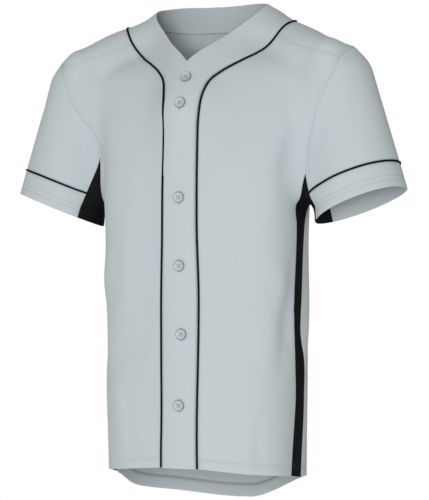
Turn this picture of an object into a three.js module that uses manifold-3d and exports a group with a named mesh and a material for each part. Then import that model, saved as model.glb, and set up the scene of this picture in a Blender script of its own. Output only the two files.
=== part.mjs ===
// A full-button baseball jersey, filled out as it hangs on a wearer's shoulders.
// Millimetres, +Z up. The front faces -Y, the wearer's left is +X, and the origin lies
// between the shoulders, level with the high point of each shoulder seam.
// Every piece is a wall that follows one smooth form. The left half is worked out, and
// the right half mirrors it.
import * as THREE from "three";
import { mergeVertices } from "three/addons/utils/BufferGeometryUtils.js";
import Module from "manifold-3d";

const wasm = await Module();
wasm.setup();

// Sizes of the cloth and its trims
const CLOTH = 1.6; // one layer of double knit with its seam allowances
const SEAM_GAP = 0.3; // between the edges of two pieces
const PIPING_RADIUS = 1.5;
const CUFF_DEPTH = 44; // sleeve hem to sleeve piping
const LAP_LIFT = 2.3; // the left band lies this much higher, on top of the right one
const BUTTON = { radius: 9.2, thickness: 3.2, rim: 1.7, dish: 0.7, holeRadius: 1.1, holeOffset: 1.9 };
const LAP_FADE = { from: -66, to: -18 }; // heights between which that lift fades out
const BUTTON_SIDES = 20;
const BUTTONS = [
  { x: 5, z: -92 },
  { x: 1.5, z: -143 },
  { x: 1.5, z: -295 },
  { x: 2, z: -405 },
  { x: 5, z: -516 },
  { x: 2, z: -631 },
];

// Rows and columns of the panels
const PANEL_COLUMNS = 11;
const BODY_ROWS = 15; // hem to armhole
const CHEST_ROWS = 9; // armhole to forward shoulder seam, on the front
const BACK_ROWS = 6; // armhole to centre back neck
const NECK_ROWS = 8; // centre back neck to forward shoulder seam
const STRIP_COLUMNS = 4;
const BAND_SHARES = [0, 0.37, 0.685, 1]; // places across the band, which meet where the two overlap
const SLEEVE_ROWS = 8;
const CUFF_ROWS = 2;
const PIPING_SIDES = 6;

// The figure: a trunk of rounded sections, a shoulder bar, a neck and an upper arm
const TRUNK = [
  { z: -900, half: 161, front: 115, back: 152 },
  { z: -735, half: 162.5, front: 115, back: 144 },
  { z: -600, half: 166.5, front: 111, back: 132 },
  { z: -450, half: 168, front: 108, back: 121 },
  { z: -330, half: 170, front: 111, back: 124 },
  { z: -250, half: 175.6, front: 107, back: 130 },
  { z: -180, half: 188, front: 91.5, back: 129 },
  { z: -130, half: 197, front: 75, back: 126 },
  { z: -90, half: 204, front: 59, back: 124 },
  { z: -50, half: 209, front: 43, back: 122 },
];
const TRUNK_SQUARENESS = 2.8;
const TRUNK_TOP = -46;
const TRUNK_TOP_BLEND = 45;
const SHOULDER_BAR = {
  inner: new THREE.Vector3(122.8, 34.8, -33),
  outer: new THREE.Vector3(182.4, -0.4, -52.1),
  innerRadius: 43.1,
  outerRadius: 35.5,
};
const NECK = [
  { z: -80, centre: 16.6, half: 85.2, depth: 103.6 },
  { z: 40, centre: 29.9, half: 76.2, depth: 56.7 },
];
const ARM = {
  top: new THREE.Vector3(231.9, 4.2, -105.8),
  hem: new THREE.Vector3(272, 0.2, -307.1),
  topHalf: 58.4,
  hemHalf: 79.5,
  topDepth: 56,
  hemDepth: 65.1,
};
const NECK_BLEND = 67.2;
const TRUNK_BLEND = 20;
const ARM_BLENDS = [
  { z: -330, blend: 1 },
  { z: -315, blend: 12 },
  { z: -300, blend: 38 },
  { z: -280, blend: 46 },
  { z: -250, blend: 46 },
  { z: -220, blend: 42 },
  { z: -170, blend: 42 },
  { z: -120, blend: 38 },
  { z: -60, blend: 22 },
];

// Soft folds: a ridge, or with a negative height a trough, that runs along (alongX, alongY, alongZ)
const FOLDS = [
  { x: 160, y: -48, z: -500, alongX: 0.1, alongY: 0.1, alongZ: 1, length: 75, width: 17, height: -4.5 },
  { x: 166, y: 22, z: -515, alongX: 0, alongY: 0.2, alongZ: 1, length: 95, width: 17, height: 5 },
  { x: 152, y: -62, z: -420, alongX: -0.5, alongY: -0.2, alongZ: 1, length: 60, width: 20, height: 2.5 },
  { x: 120, y: -95, z: -560, alongX: 1, alongY: 0, alongZ: -0.5, length: 70, width: 22, height: -2.5 },
  { x: 110, y: -98, z: -660, alongX: 0.25, alongY: 0, alongZ: 1, length: 80, width: 26, height: 3 },
  { x: 60, y: -112, z: -700, alongX: 0.1, alongY: 0, alongZ: 1, length: 50, width: 20, height: 2 },
  { x: 172, y: -62, z: -235, alongX: 0.7, alongY: 0, alongZ: 0.9, length: 50, width: 16, height: -3 },
  { x: 150, y: -85, z: -300, alongX: 0.4, alongY: 0, alongZ: 1, length: 70, width: 22, height: 2.5 },
  { x: 140, y: 95, z: -300, alongX: 0.6, alongY: 0, alongZ: 1, length: 90, width: 24, height: 4 },
  { x: 95, y: 118, z: -420, alongX: 0.3, alongY: 0, alongZ: 1, length: 110, width: 26, height: -4 },
  { x: 55, y: 128, z: -480, alongX: 0.15, alongY: 0, alongZ: 1, length: 120, width: 24, height: 4 },
  { x: 120, y: 112, z: -640, alongX: -0.3, alongY: 0, alongZ: 1, length: 100, width: 28, height: 4 },
  { x: 263, y: 0, z: -48, alongX: 0, alongY: 1, alongZ: 0, length: 34, width: 14, height: 3 },
  { x: 225, y: 4, z: -32, alongX: 0.2, alongY: 1, alongZ: 0, length: 40, width: 22, height: -2.5 },
  { x: 252, y: -60, z: -235, alongX: 0.35, alongY: 0, alongZ: 1, length: 60, width: 18, height: 2 },
];

// Where the seams run. Each row gives a point that is then laid on the form.
const FRONT_SEAM = [
  { x: 31.2, y: -114, z: -733 },
  { x: 30.3, y: -113, z: -650 },
  { x: 31.2, y: -110, z: -550 },
  { x: 31.2, y: -107, z: -450 },
  { x: 29.2, y: -110, z: -350 },
  { x: 29.7, y: -114, z: -258 },
];
const LAP_EDGE = -25.5; // the band's free edge, past centre front
const COLLAR = [
  { seamX: 29.7, seamY: -114, seamZ: -258, edgeX: -27, edgeY: -114, edgeZ: -258 },
  { seamX: 29.7, seamY: -112, seamZ: -207, edgeX: -27, edgeY: -112, edgeZ: -207 },
  { seamX: 30, seamY: -108, seamZ: -162, edgeX: -27, edgeY: -108, edgeZ: -162 },
  { seamX: 33, seamY: -101, seamZ: -130, edgeX: -25, edgeY: -101, edgeZ: -128 },
  { seamX: 42, seamY: -88, seamZ: -103, edgeX: -18, edgeY: -95, edgeZ: -98 },
  { seamX: 60, seamY: -66, seamZ: -83, edgeX: -5, edgeY: -88, edgeZ: -75 },
  { seamX: 82, seamY: -48, seamZ: -66, edgeX: 13, edgeY: -75, edgeZ: -58 },
  { seamX: 106, seamY: -33, seamZ: -48, edgeX: 34, edgeY: -56, edgeZ: -41 },
  { seamX: 130, seamY: -14, seamZ: -26, edgeX: 56, edgeY: -39, edgeZ: -22 },
  { seamX: 143, seamY: 2, seamZ: -11, edgeX: 74, edgeY: -20, edgeZ: -4 },
  { seamX: 150, seamY: 18, seamZ: 0, edgeX: 89, edgeY: -1, edgeZ: 13 },
  { seamX: 148, seamY: 39, seamZ: 6, edgeX: 98, edgeY: 20, edgeZ: 29 },
  { seamX: 131, seamY: 64, seamZ: 8, edgeX: 96, edgeY: 44, edgeZ: 39 },
  { seamX: 99, seamY: 85, seamZ: 7, edgeX: 76, edgeY: 65, edgeZ: 43 },
  { seamX: 52, seamY: 98, seamZ: 4, edgeX: 40, edgeY: 78, edgeZ: 42 },
  { seamX: 0, seamY: 103, seamZ: 3, edgeX: 0, edgeY: 82, edgeZ: 41 },
];
const CORNER_ROW = 8; // the row of COLLAR at the forward shoulder seam
const ARMHOLE_FRONT = {
  left: [
    { x: 192.5, y: -45, z: -217 },
    { x: 202, y: -50.5, z: -186 },
    { x: 210, y: -55, z: -156 },
    { x: 226, y: -55.5, z: -122 },
    { x: 240, y: -53, z: -94 },
    { x: 249.5, y: -43, z: -70 },
  ],
  right: [
    { x: 176.5, y: -51, z: -203 },
    { x: 186, y: -51, z: -181 },
    { x: 200, y: -52.5, z: -163 },
    { x: 218, y: -55, z: -138 },
    { x: 236, y: -54.5, z: -103 },
    { x: 249.5, y: -43, z: -70 },
  ],
};
const ARMHOLE_BACK = [
  { x: 184, y: 40, z: -266 },
  { x: 189, y: 45, z: -238 },
  { x: 205, y: 52, z: -198 },
  { x: 222, y: 61, z: -158 },
  { x: 237, y: 59, z: -115 },
  { x: 251, y: 41, z: -68 },
  { x: 262, y: 2, z: -51.5 },
  { x: 259.5, y: -18, z: -53 },
  { x: 249.5, y: -43, z: -70 },
];
const SHOULDER_DIP = 12; // how far the forward shoulder seam sags in its middle
const UNDERARM = [
  { x: 183, y: -30, z: -288 },
  { x: 181.5, y: 0, z: -303 },
  { x: 183, y: 28, z: -292 },
];
const SIDE_SEAMS = [
  { z: -748, leftFront: -28, leftBack: 20, rightFront: -50, rightBack: -12 },
  { z: -625, leftFront: -20, leftBack: 26, rightFront: -31, rightBack: 8 },
  { z: -560, leftFront: -23, leftBack: 8, rightFront: -27, rightBack: 5 },
  { z: -510, leftFront: -25, leftBack: -4, rightFront: -25, rightBack: -2 },
  { z: -445, leftFront: -26, leftBack: 3, rightFront: -26, rightBack: 3 },
  { z: -363, leftFront: -20, leftBack: 9, rightFront: -20, rightBack: 9 },
  { z: -312, leftFront: -22, leftBack: 17, rightFront: -22, rightBack: 17 },
];

// Heights of the back's hem from centre back to each side seam. It hangs lower on the right.
const TAIL = [
  { share: 0, left: -811, right: -811 },
  { share: 0.15, left: -809, right: -810 },
  { share: 0.3, left: -797, right: -807 },
  { share: 0.45, left: -781, right: -802 },
  { share: 0.6, left: -767, right: -795 },
  { share: 0.75, left: -759, right: -784 },
  { share: 0.88, left: -756, right: -768 },
  { share: 1, left: -755, right: -755 },
];
const ARMHOLE_LEVEL = -258;
const BELOW_BACK_NOTCH = { x: 179, y: 31, z: -288 };

// The two arms hang a little differently: the notch is where the front, the side panel and the
// sleeve meet, and the side seam reaches it over a point below it. The rise is how much higher
// the front of the sleeve's hem is than its middle, and the drop how much lower its back is. The
// gusset's seams meet the hem at the two angles.
const SIDES = [
  {
    side: "left",
    notch: { x: 188.5, y: -41, z: -256 },
    belowNotch: { x: 182, y: -36, z: -280 },
    frontRise: 10,
    backDrop: 3,
    gussetFront: 157,
    gussetBack: 146,
  },
  {
    side: "right",
    notch: { x: 176, y: -45, z: -221 },
    belowNotch: { x: 174, y: -37, z: -272 },
    frontRise: 8,
    backDrop: 3,
    gussetFront: 137,
    gussetBack: 140,
  },
];

// The sleeve's hem is a tilted oval. Angles run from its outer point towards the front.
const SLEEVE_HEM = {
  centre: new THREE.Vector3(274, 0, -307.5),
  half: 78,
  depth: 63,
  tilt: 21,
  shoulderAngle: 24,
};

const cloth = (color) => new THREE.MeshStandardMaterial({ color, roughness: 0.85, metalness: 0 });
const GREY_KNIT = cloth(0xbcc4c7);
const BLACK_KNIT = cloth(0x242424);
const GREY_RESIN = new THREE.MeshStandardMaterial({ color: 0xb9c1c4, roughness: 0.4, metalness: 0 });

const { lerp, clamp } = THREE.MathUtils;

// A smooth curve through a table: every other column at one value of the key column
function lookUp(rows, key, value) {
  const last = rows.length - 1;
  const v = clamp(value, rows[0][key], rows[last][key]);
  let i = 0;
  while (i < last - 1 && rows[i + 1][key] < v) i += 1;
  const a = rows[i];
  const b = rows[i + 1];
  const before = rows[Math.max(i - 1, 0)];
  const after = rows[Math.min(i + 2, last)];
  const step = b[key] - a[key];
  const t = (v - a[key]) / step;
  const found = {};
  for (const column in a) {
    if (column === key) continue;
    const rise = b[column] - a[column];
    const startSlope = ((b[column] - before[column]) / (b[key] - before[key])) * step;
    const endSlope = ((after[column] - a[column]) / (after[key] - a[key])) * step;
    found[column] =
      a[column] +
      t * startSlope +
      t * t * (3 * rise - 2 * startSlope - endSlope) +
      t * t * t * (startSlope + endSlope - 2 * rise);
  }
  return found;
}

// Two distances joined with a fillet
function blend(a, b, width) {
  const t = clamp(0.5 + (0.5 * (b - a)) / width, 0, 1);
  return lerp(b, a, t) - width * t * (1 - t);
}

function barDistance(p, bar) {
  const along = bar.outer.clone().sub(bar.inner);
  const t = clamp(p.clone().sub(bar.inner).dot(along) / along.lengthSq(), -0.3, 1.6);
  const nearest = bar.inner.clone().addScaledVector(along, t);
  return p.distanceTo(nearest) - lerp(bar.innerRadius, bar.outerRadius, t);
}

function trunkDistance(p) {
  const section = lookUp(TRUNK, "z", p.z);
  const depth = p.y < 0 ? section.front : section.back;
  const n = TRUNK_SQUARENESS;
  const ratio = ((p.x / section.half) ** n + (Math.abs(p.y) / depth) ** n) ** (1 / n);
  const side = (ratio - 1) * Math.min(section.half, depth);
  return -blend(-side, (TRUNK_TOP - p.z) * 0.8, TRUNK_TOP_BLEND);
}

function neckDistance(p) {
  const [low, high] = NECK;
  const t = clamp((p.z - low.z) / (high.z - low.z), -0.5, 1.3);
  const half = lerp(low.half, high.half, t);
  const depth = lerp(low.depth, high.depth, t);
  const ratio = Math.hypot(p.x / half, (p.y - lerp(low.centre, high.centre, t)) / depth);
  return (ratio - 1) * Math.min(half, depth);
}

const armAxis = ARM.hem.clone().sub(ARM.top);
const armLength = armAxis.length();
armAxis.normalize();
const armSide = new THREE.Vector3(-armAxis.z, 0, armAxis.x).normalize();
const armFront = new THREE.Vector3().crossVectors(armAxis, armSide);

function armDistance(p) {
  const t = clamp(p.clone().sub(ARM.top).dot(armAxis) / armLength, 0, 1.6);
  const v = p.clone().sub(ARM.top).addScaledVector(armAxis, -t * armLength);
  const half = lerp(ARM.topHalf, ARM.hemHalf, t);
  const depth = lerp(ARM.topDepth, ARM.hemDepth, t);
  const ratio = Math.hypot(
    v.dot(armSide) / half,
    v.dot(armFront) / depth,
    (2 * v.dot(armAxis)) / (half + depth),
  );
  return (ratio - 1) * Math.min(half, depth);
}

// How far the folds raise the cloth at a point
const foldAxes = FOLDS.map((f) => new THREE.Vector3(f.alongX, f.alongY, f.alongZ).normalize());
function foldHeight(p) {
  let height = 0;
  FOLDS.forEach((fold, i) => {
    const v = new THREE.Vector3(p.x - fold.x, p.y - fold.y, p.z - fold.z);
    const along = v.dot(foldAxes[i]);
    const across = v.lengthSq() - along * along;
    height += fold.height * Math.exp(-((along / fold.length) ** 2) - across / fold.width ** 2);
  });
  return height;
}

// Signed distance to the form that the cloth lies on, positive outside it
function form(point) {
  const p = point.clone();
  p.x = Math.abs(p.x);
  const shoulders = blend(barDistance(p, SHOULDER_BAR), neckDistance(p), NECK_BLEND);
  const body = blend(shoulders, trunkDistance(p), TRUNK_BLEND);
  const fillet = lookUp(ARM_BLENDS, "z", p.z).blend;
  return blend(body, armDistance(p), fillet) - foldHeight(p);
}

function slope(p) {
  const h = 0.5;
  const along = (x, y, z) => form(new THREE.Vector3(p.x + x, p.y + y, p.z + z));
  return new THREE.Vector3(
    along(h, 0, 0) - along(-h, 0, 0),
    along(0, h, 0) - along(0, -h, 0),
    along(0, 0, h) - along(0, 0, -h),
  ).divideScalar(2 * h);
}

// The point moved onto the form
function lay(point) {
  const p = point.clone();
  for (let i = 0; i < 9; i += 1) {
    const distance = form(p);
    if (Math.abs(distance) < 0.005) break;
    const g = slope(p);
    p.addScaledVector(g, -distance / Math.max(g.lengthSq(), 0.2));
  }
  return p;
}

// Sample points of a seam, evenly spaced along it
function seam(rows, count) {
  const curve = new THREE.CatmullRomCurve3(rows.map((r) => new THREE.Vector3(r.x, r.y, r.z)));
  curve.arcLengthDivisions = 400;
  return curve.getSpacedPoints(count).map(lay);
}

// Sample points along a stretch of the collar's table: its outer seam or its free edge
function collarLine(name, from, to, count) {
  const rows = COLLAR.map((r) => new THREE.Vector3(r[`${name}X`], r[`${name}Y`], r[`${name}Z`]));
  const curve = new THREE.CatmullRomCurve3(rows);
  const points = [];
  for (let i = 0; i <= count; i += 1) {
    points.push(lay(curve.getPoint(lerp(from, to, i / count) / (COLLAR.length - 1))));
  }
  return points;
}

// A net of points on the form between two seams, row by row. Rows bow outwards from the chord, so
// that each point meets the near side of the form.
function net(inner, outer, columns, shift) {
  return inner.map((a, row) => {
    const b = outer[row];
    const out = slope(a).normalize().add(slope(b).normalize()).normalize();
    const bow = a.distanceTo(b) * 0.6;
    const points = [];
    for (let i = 0; i <= columns; i += 1) {
      const u = i / columns;
      const p = a.clone().lerp(b, u).addScaledVector(out, bow * u * (1 - u));
      p.z += shift(u, row / (inner.length - 1));
      points.push(lay(p));
    }
    return points;
  });
}

// Moves one edge of a net inwards. Edges: "first" and "last" row, "start" and "end" of the rows
function trim(rows, edge, distance) {
  const across = edge === "start" || edge === "end";
  const count = across ? rows.length : rows[0].length;
  const at = (i, depth) => {
    if (edge === "start") return rows[i][depth];
    if (edge === "end") return rows[i][rows[i].length - 1 - depth];
    if (edge === "first") return rows[depth][i];
    return rows[rows.length - 1 - depth][i];
  };
  const moves = [];
  for (let i = 0; i < count; i += 1) {
    const tangent = at(Math.min(i + 1, count - 1), 0).clone().sub(at(Math.max(i - 1, 0), 0)).normalize();
    const inwards = at(i, 1).clone().sub(at(i, 0)).normalize();
    const square = inwards.clone().addScaledVector(tangent, -inwards.dot(tangent));
    const corner = i === 0 || i === count - 1;
    moves.push(corner ? inwards.multiplyScalar(distance / square.length()) : square.setLength(distance));
  }
  moves.forEach((move, i) => at(i, 0).add(move));
  return rows;
}

// Faces of a net, wound so that they face away from the form
function netFaces(rows) {
  const faces = [];
  for (let r = 0; r < rows.length - 1; r += 1) {
    for (let c = 0; c < rows[r].length - 1; c += 1) {
      faces.push([rows[r][c], rows[r][c + 1], rows[r + 1][c + 1], rows[r + 1][c]]);
    }
  }
  const [a, b, c] = faces[Math.floor(faces.length / 2)];
  const normal = b.clone().sub(a).cross(c.clone().sub(a));
  if (normal.dot(slope(a)) < 0) faces.forEach((face) => face.reverse());
  return faces;
}

const mirrorPoint = (p) => new THREE.Vector3(0 - p.x, p.y, p.z);
const mirrorFaces = (faces) => faces.map((face) => face.map(mirrorPoint).reverse());

// A closed body from corner points and triangles, with equal points merged
function body(triangles) {
  const geometry = new THREE.BufferGeometry();
  const positions = triangles.flatMap((p) => [p.x, p.y, p.z]);
  geometry.setAttribute("position", new THREE.Float32BufferAttribute(positions, 3));
  return mergeVertices(geometry, 1e-3);
}

// A wall of cloth on four-sided faces. The levels are heights over the form, each a number or
// a function of the point.
function wall(faces, outerLevel = 0, innerLevel = -CLOTH) {
  const names = new Map();
  const corners = [];
  const name = (p) => {
    const key = `${p.x.toFixed(3)},${p.y.toFixed(3)},${p.z.toFixed(3)}`;
    if (!names.has(key)) {
      const normal = slope(p).normalize();
      const level = (l) => p.clone().addScaledVector(normal, typeof l === "number" ? l : l(p));
      names.set(key, corners.length);
      corners.push({ outer: level(outerLevel), inner: level(innerLevel) });
    }
    return names.get(key);
  };
  const quads = faces.map((face) => face.map(name));
  const edges = new Set();
  for (const quad of quads) {
    quad.forEach((a, i) => edges.add(`${a},${quad[(i + 1) % 4]}`));
  }
  const triangles = [];
  for (const quad of quads) {
    const [a, b, c, d] = quad;
    const span = (p, q) => corners[p].outer.distanceTo(corners[q].outer);
    const short = span(a, c) <= span(b, d);
    const halves = short ? [[a, b, c], [a, c, d]] : [[a, b, d], [b, c, d]];
    for (const [i, j, k] of halves) {
      triangles.push(corners[i].outer, corners[j].outer, corners[k].outer);
      triangles.push(corners[k].inner, corners[j].inner, corners[i].inner);
    }
    quad.forEach((p, i) => {
      const q = quad[(i + 1) % 4];
      if (edges.has(`${q},${p}`)) return;
      const from = corners[p];
      const to = corners[q];
      if (to.outer.distanceTo(from.inner) < from.outer.distanceTo(to.inner)) {
        triangles.push(to.outer, from.outer, from.inner, to.outer, from.inner, to.inner);
      } else {
        triangles.push(to.outer, from.outer, to.inner, from.outer, from.inner, to.inner);
      }
    });
  }
  return body(triangles);
}

// A round cord laid along points on the form, closed at both ends
function cordAlong(points, radius) {
  const rings = points.map((p, i) => {
    const next = points[Math.min(i + 1, points.length - 1)];
    const tangent = next.clone().sub(points[Math.max(i - 1, 0)]).normalize();
    const up = slope(p);
    up.addScaledVector(tangent, -up.dot(tangent)).normalize();
    const side = new THREE.Vector3().crossVectors(tangent, up);
    return Array.from({ length: PIPING_SIDES }, (_, k) => {
      const turn = (2 * Math.PI * k) / PIPING_SIDES;
      const across = side.clone().multiplyScalar(radius * Math.sin(turn));
      return p.clone().addScaledVector(up, radius * Math.cos(turn)).add(across);
    });
  });
  const triangles = [];
  for (let i = 0; i < rings.length - 1; i += 1) {
    for (let k = 0; k < PIPING_SIDES; k += 1) {
      const l = (k + 1) % PIPING_SIDES;
      triangles.push(rings[i][k], rings[i + 1][l], rings[i + 1][k]);
      triangles.push(rings[i][k], rings[i][l], rings[i + 1][l]);
    }
  }
  for (let k = 1; k < PIPING_SIDES - 1; k += 1) {
    const end = rings[rings.length - 1];
    triangles.push(rings[0][0], rings[0][k + 1], rings[0][k]);
    triangles.push(end[0], end[k], end[k + 1]);
  }
  return body(triangles);
}

const jersey = new THREE.Group();

function add(name, geometry, material) {
  const mesh = new THREE.Mesh(geometry, material);
  mesh.name = name;
  jersey.add(mesh);
  return mesh;
}

const BACK_COUNT = BACK_ROWS + NECK_ROWS;
const BAND_ROWS = BODY_ROWS + CHEST_ROWS + NECK_ROWS;
const halfGap = SEAM_GAP / 2 + 0.03;
const pipingGap = PIPING_RADIUS + SEAM_GAP;

// Seam points that both halves share, all given on the left
const frontLower = seam(FRONT_SEAM, BODY_ROWS);
const frontUpper = collarLine("seam", 0, CORNER_ROW, CHEST_ROWS);
const neckBack = collarLine("seam", CORNER_ROW, COLLAR.length - 1, NECK_ROWS);
frontLower[BODY_ROWS] = frontUpper[0];
const frontSeam = [...frontLower, ...frontUpper.slice(1)];
const armholeBack = seam(ARMHOLE_BACK, BACK_COUNT);
const copyRows = (rows) => rows.map((row) => row.map((p) => p.clone()));

// A side seam from the hem up to the armhole
function sideSeam(name, hem, below, top) {
  const rows = SIDE_SEAMS.map((row) => ({ x: 176, y: row[name], z: row.z }));
  rows[0].z = hem;
  return [...seam([...rows, below, top], BODY_ROWS).slice(0, -1), top];
}

// How far the last rows of the front and the back slide down, so that they end on the shoulder seam
function shoulderDip(u, v) {
  return -SHOULDER_DIP * 4 * u * (1 - u) * THREE.MathUtils.smoothstep(v, 0.75, 1);
}

// Front: from the piping to the side seam and armhole, up to the forward shoulder seam
function frontPanel(sideFront, armholeFront) {
  const rows = net(frontSeam, [...sideFront, ...armholeFront.slice(1)], PANEL_COLUMNS, shoulderDip);
  trim(rows, "last", halfGap);
  trim(rows, "start", pipingGap);
  return trim(rows, "end", halfGap);
}

// Half of the back, which has a dropped tail and reaches over the shoulder to the forward seam
function backPanel(side, sideBack) {
  const centreBack = (from, to, count) =>
    Array.from({ length: count + 1 }, (_, i) => lay(new THREE.Vector3(0, 140, lerp(from, to, i / count))));
  const nape = BODY_ROWS + BACK_ROWS;
  const inner = [
    ...centreBack(TAIL[0][side], ARMHOLE_LEVEL, BODY_ROWS),
    ...centreBack(ARMHOLE_LEVEL, neckBack[NECK_ROWS].z, BACK_ROWS).slice(1, -1),
    ...neckBack.toReversed(),
  ];
  const bodyShare = BODY_ROWS / (inner.length - 1);
  const drop = (u, v) => {
    const straight = lerp(TAIL[0][side], TAIL.at(-1)[side], u);
    const curve = lookUp(TAIL, "share", u)[side] - straight;
    return curve * Math.max(0, 1 - v / bodyShare) + shoulderDip(u, v);
  };
  const rows = net(inner, [...sideBack, ...armholeBack.slice(1)], PANEL_COLUMNS, drop);
  trim(rows, "last", halfGap);
  trim(rows.slice(nape), "start", pipingGap);
  trim(rows, "end", halfGap);
  rows.slice(0, nape + 1).forEach((row) => row[0].setX(0));
  return rows;
}

// Side panel: a narrow strip from the hem to the underarm curve
function sidePanel(sideFront, sideBack, underarm) {
  const rows = sideFront.map((front, row) =>
    underarm.map((top, i) => {
      if (row === BODY_ROWS) return top.clone();
      const p = front.clone().lerp(sideBack[row], i / STRIP_COLUMNS);
      const hem = lerp(sideFront[0].z, sideBack[0].z, i / STRIP_COLUMNS);
      if (i > 0 && i < STRIP_COLUMNS) p.z = lerp(hem, top.z, row / BODY_ROWS);
      return lay(p);
    }),
  );
  trim(rows, "last", halfGap);
  trim(rows, "start", halfGap);
  return trim(rows, "end", halfGap);
}

// A point of the sleeve's hem
function sleeveHem(angle, { frontRise, backDrop }) {
  const turn = THREE.MathUtils.degToRad(angle);
  const tilt = THREE.MathUtils.degToRad(SLEEVE_HEM.tilt);
  const side = SLEEVE_HEM.half * Math.cos(turn);
  const forward = SLEEVE_HEM.depth * Math.sin(turn);
  const p = SLEEVE_HEM.centre.clone();
  p.add(new THREE.Vector3(side * Math.cos(tilt), -forward, side * Math.sin(tilt)));
  p.z += (forward > 0 ? frontRise : backDrop) * Math.sin(turn);
  return lay(p);
}

// Rows of a sleeve from its top edge to the hem. A column's share of its length lies above the piping.
function sleeveRows(topPoints, angles, shares, hang) {
  return Array.from({ length: SLEEVE_ROWS + CUFF_ROWS + 1 }, (_, row) =>
    topPoints.map((top, i) => {
      const above = (shares[i] * row) / SLEEVE_ROWS;
      const t = row <= SLEEVE_ROWS ? above : lerp(shares[i], 1, (row - SLEEVE_ROWS) / CUFF_ROWS);
      return t === 0 ? top.clone() : lay(top.clone().lerp(sleeveHem(angles[i], hang), t));
    }),
  );
}

// The sleeve cap, its cuff, the piping between them and the gusset on the underside
function sleevePieces(armholeFront, underarm, hang) {
  const { gussetFront, gussetBack } = hang;
  const { shoulderAngle } = SLEEVE_HEM;
  const top = [...armholeFront, ...armholeBack.toReversed().slice(1)];
  const angles = top.map((_, i) =>
    i <= CHEST_ROWS
      ? lerp(gussetFront, shoulderAngle, i / CHEST_ROWS)
      : lerp(shoulderAngle, -gussetBack, (i - CHEST_ROWS) / BACK_COUNT),
  );
  const shares = top.map((p, i) => 1 - CUFF_DEPTH / p.distanceTo(sleeveHem(angles[i], hang)));
  const rows = sleeveRows(top, angles, shares, hang);
  const cap = copyRows(rows.slice(0, SLEEVE_ROWS + 1));
  const cuff = copyRows(rows.slice(SLEEVE_ROWS));
  const underAngles = underarm.map((_, i) => lerp(gussetFront, 360 - gussetBack, i / STRIP_COLUMNS));
  const underShares = underarm.map((_, i) => lerp(shares[0], shares.at(-1), i / STRIP_COLUMNS));
  const gusset = sleeveRows(underarm, underAngles, underShares, hang);
  trim(cap, "first", halfGap);
  trim(cap, "last", pipingGap);
  trim(cuff, "first", pipingGap);
  trim(gusset, "first", halfGap);
  for (const piece of [cap, cuff, gusset]) {
    trim(piece, "start", halfGap);
    trim(piece, "end", halfGap);
  }
  return { cap, cuff, gusset, piping: shorten(rows[SLEEVE_ROWS], 2 * PIPING_RADIUS) };
}

// A line of points with both ends drawn in
function shorten(points, distance) {
  const line = points.map((p) => p.clone());
  const last = line.length - 1;
  line[0].addScaledVector(line[1].clone().sub(line[0]).normalize(), distance);
  line[last].addScaledVector(line[last - 1].clone().sub(line[last]).normalize(), distance);
  return line;
}

// Band: one strip from the hem up the opening and round the neck to centre back
function bandPanel(bandSeam) {
  const edge = [
    ...frontLower.map((p) => lay(new THREE.Vector3(LAP_EDGE, p.y, p.z))),
    ...collarLine("edge", 0, CORNER_ROW, CHEST_ROWS).slice(1),
    ...collarLine("edge", CORNER_ROW, COLLAR.length - 1, NECK_ROWS).slice(1),
  ];
  const rows = bandSeam.map((p, row) => BAND_SHARES.map((share) => lay(p.clone().lerp(edge[row], share))));
  trim(rows, "start", pipingGap);
  return trim(rows, "last", halfGap);
}

// Both halves. The left band lies over the right one down the front.
const backFaces = [];
const bandSeam = [...frontSeam, ...neckBack.slice(1)];
const lapLift = (p) => LAP_LIFT * (1 - THREE.MathUtils.smoothstep(p.z, LAP_FADE.from, LAP_FADE.to));
for (const { side, notch, belowNotch, ...hang } of SIDES) {
  const onSide = side === "left" ? (faces) => faces : mirrorFaces;
  const lineOnSide = side === "left" ? (points) => points : (points) => points.map(mirrorPoint);
  const armholeFront = seam([notch, ...ARMHOLE_FRONT[side]], CHEST_ROWS);
  const underarm = seam([notch, ...UNDERARM, ARMHOLE_BACK[0]], STRIP_COLUMNS);
  underarm[0] = armholeFront[0];
  underarm[STRIP_COLUMNS] = armholeBack[0];
  const sideFront = sideSeam(`${side}Front`, SIDE_SEAMS[0].z, belowNotch, armholeFront[0]);
  const sideBack = sideSeam(`${side}Back`, TAIL.at(-1)[side], BELOW_BACK_NOTCH, armholeBack[0]);
  const { cap, cuff, gusset, piping } = sleevePieces(armholeFront, underarm, hang);
  const panel = (rows) => onSide(netFaces(rows));
  add(`front_${side}`, wall(panel(frontPanel(sideFront, armholeFront))), GREY_KNIT);
  add(`side_panel_${side}`, wall(panel(sidePanel(sideFront, sideBack, underarm))), BLACK_KNIT);
  add(`sleeve_${side}`, wall(panel(cap)), GREY_KNIT);
  add(`cuff_${side}`, wall(panel(cuff)), GREY_KNIT);
  add(`sleeve_gusset_${side}`, wall(panel(gusset)), BLACK_KNIT);
  add(`sleeve_piping_${side}`, cordAlong(lineOnSide(piping), PIPING_RADIUS), BLACK_KNIT);
  backFaces.push(...panel(backPanel(side, sideBack)));

  const lift = side === "left" ? lapLift : () => 0;
  const band = wall(panel(bandPanel(bandSeam)), lift, (p) => lift(p) - CLOTH);
  add(`band_${side}`, band, GREY_KNIT);
  const neckPiping = bandSeam.map((p) => p.clone());
  neckPiping[BAND_ROWS].x = halfGap;
  add(`piping_${side}`, cordAlong(lineOnSide(neckPiping), PIPING_RADIUS), BLACK_KNIT);
}
add("back", wall(backFaces), GREY_KNIT);

// Buttons: four-hole buttons with a raised rim, each flat on the left band near centre front
function solid(geometry) {
  geometry.deleteAttribute("normal");
  geometry.deleteAttribute("uv");
  const merged = mergeVertices(geometry, 1e-4);
  return new wasm.Manifold(
    new wasm.Mesh({
      numProp: 3,
      vertProperties: new Float32Array(merged.attributes.position.array),
      triVerts: new Uint32Array(merged.index.array),
    }),
  );
}

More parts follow.
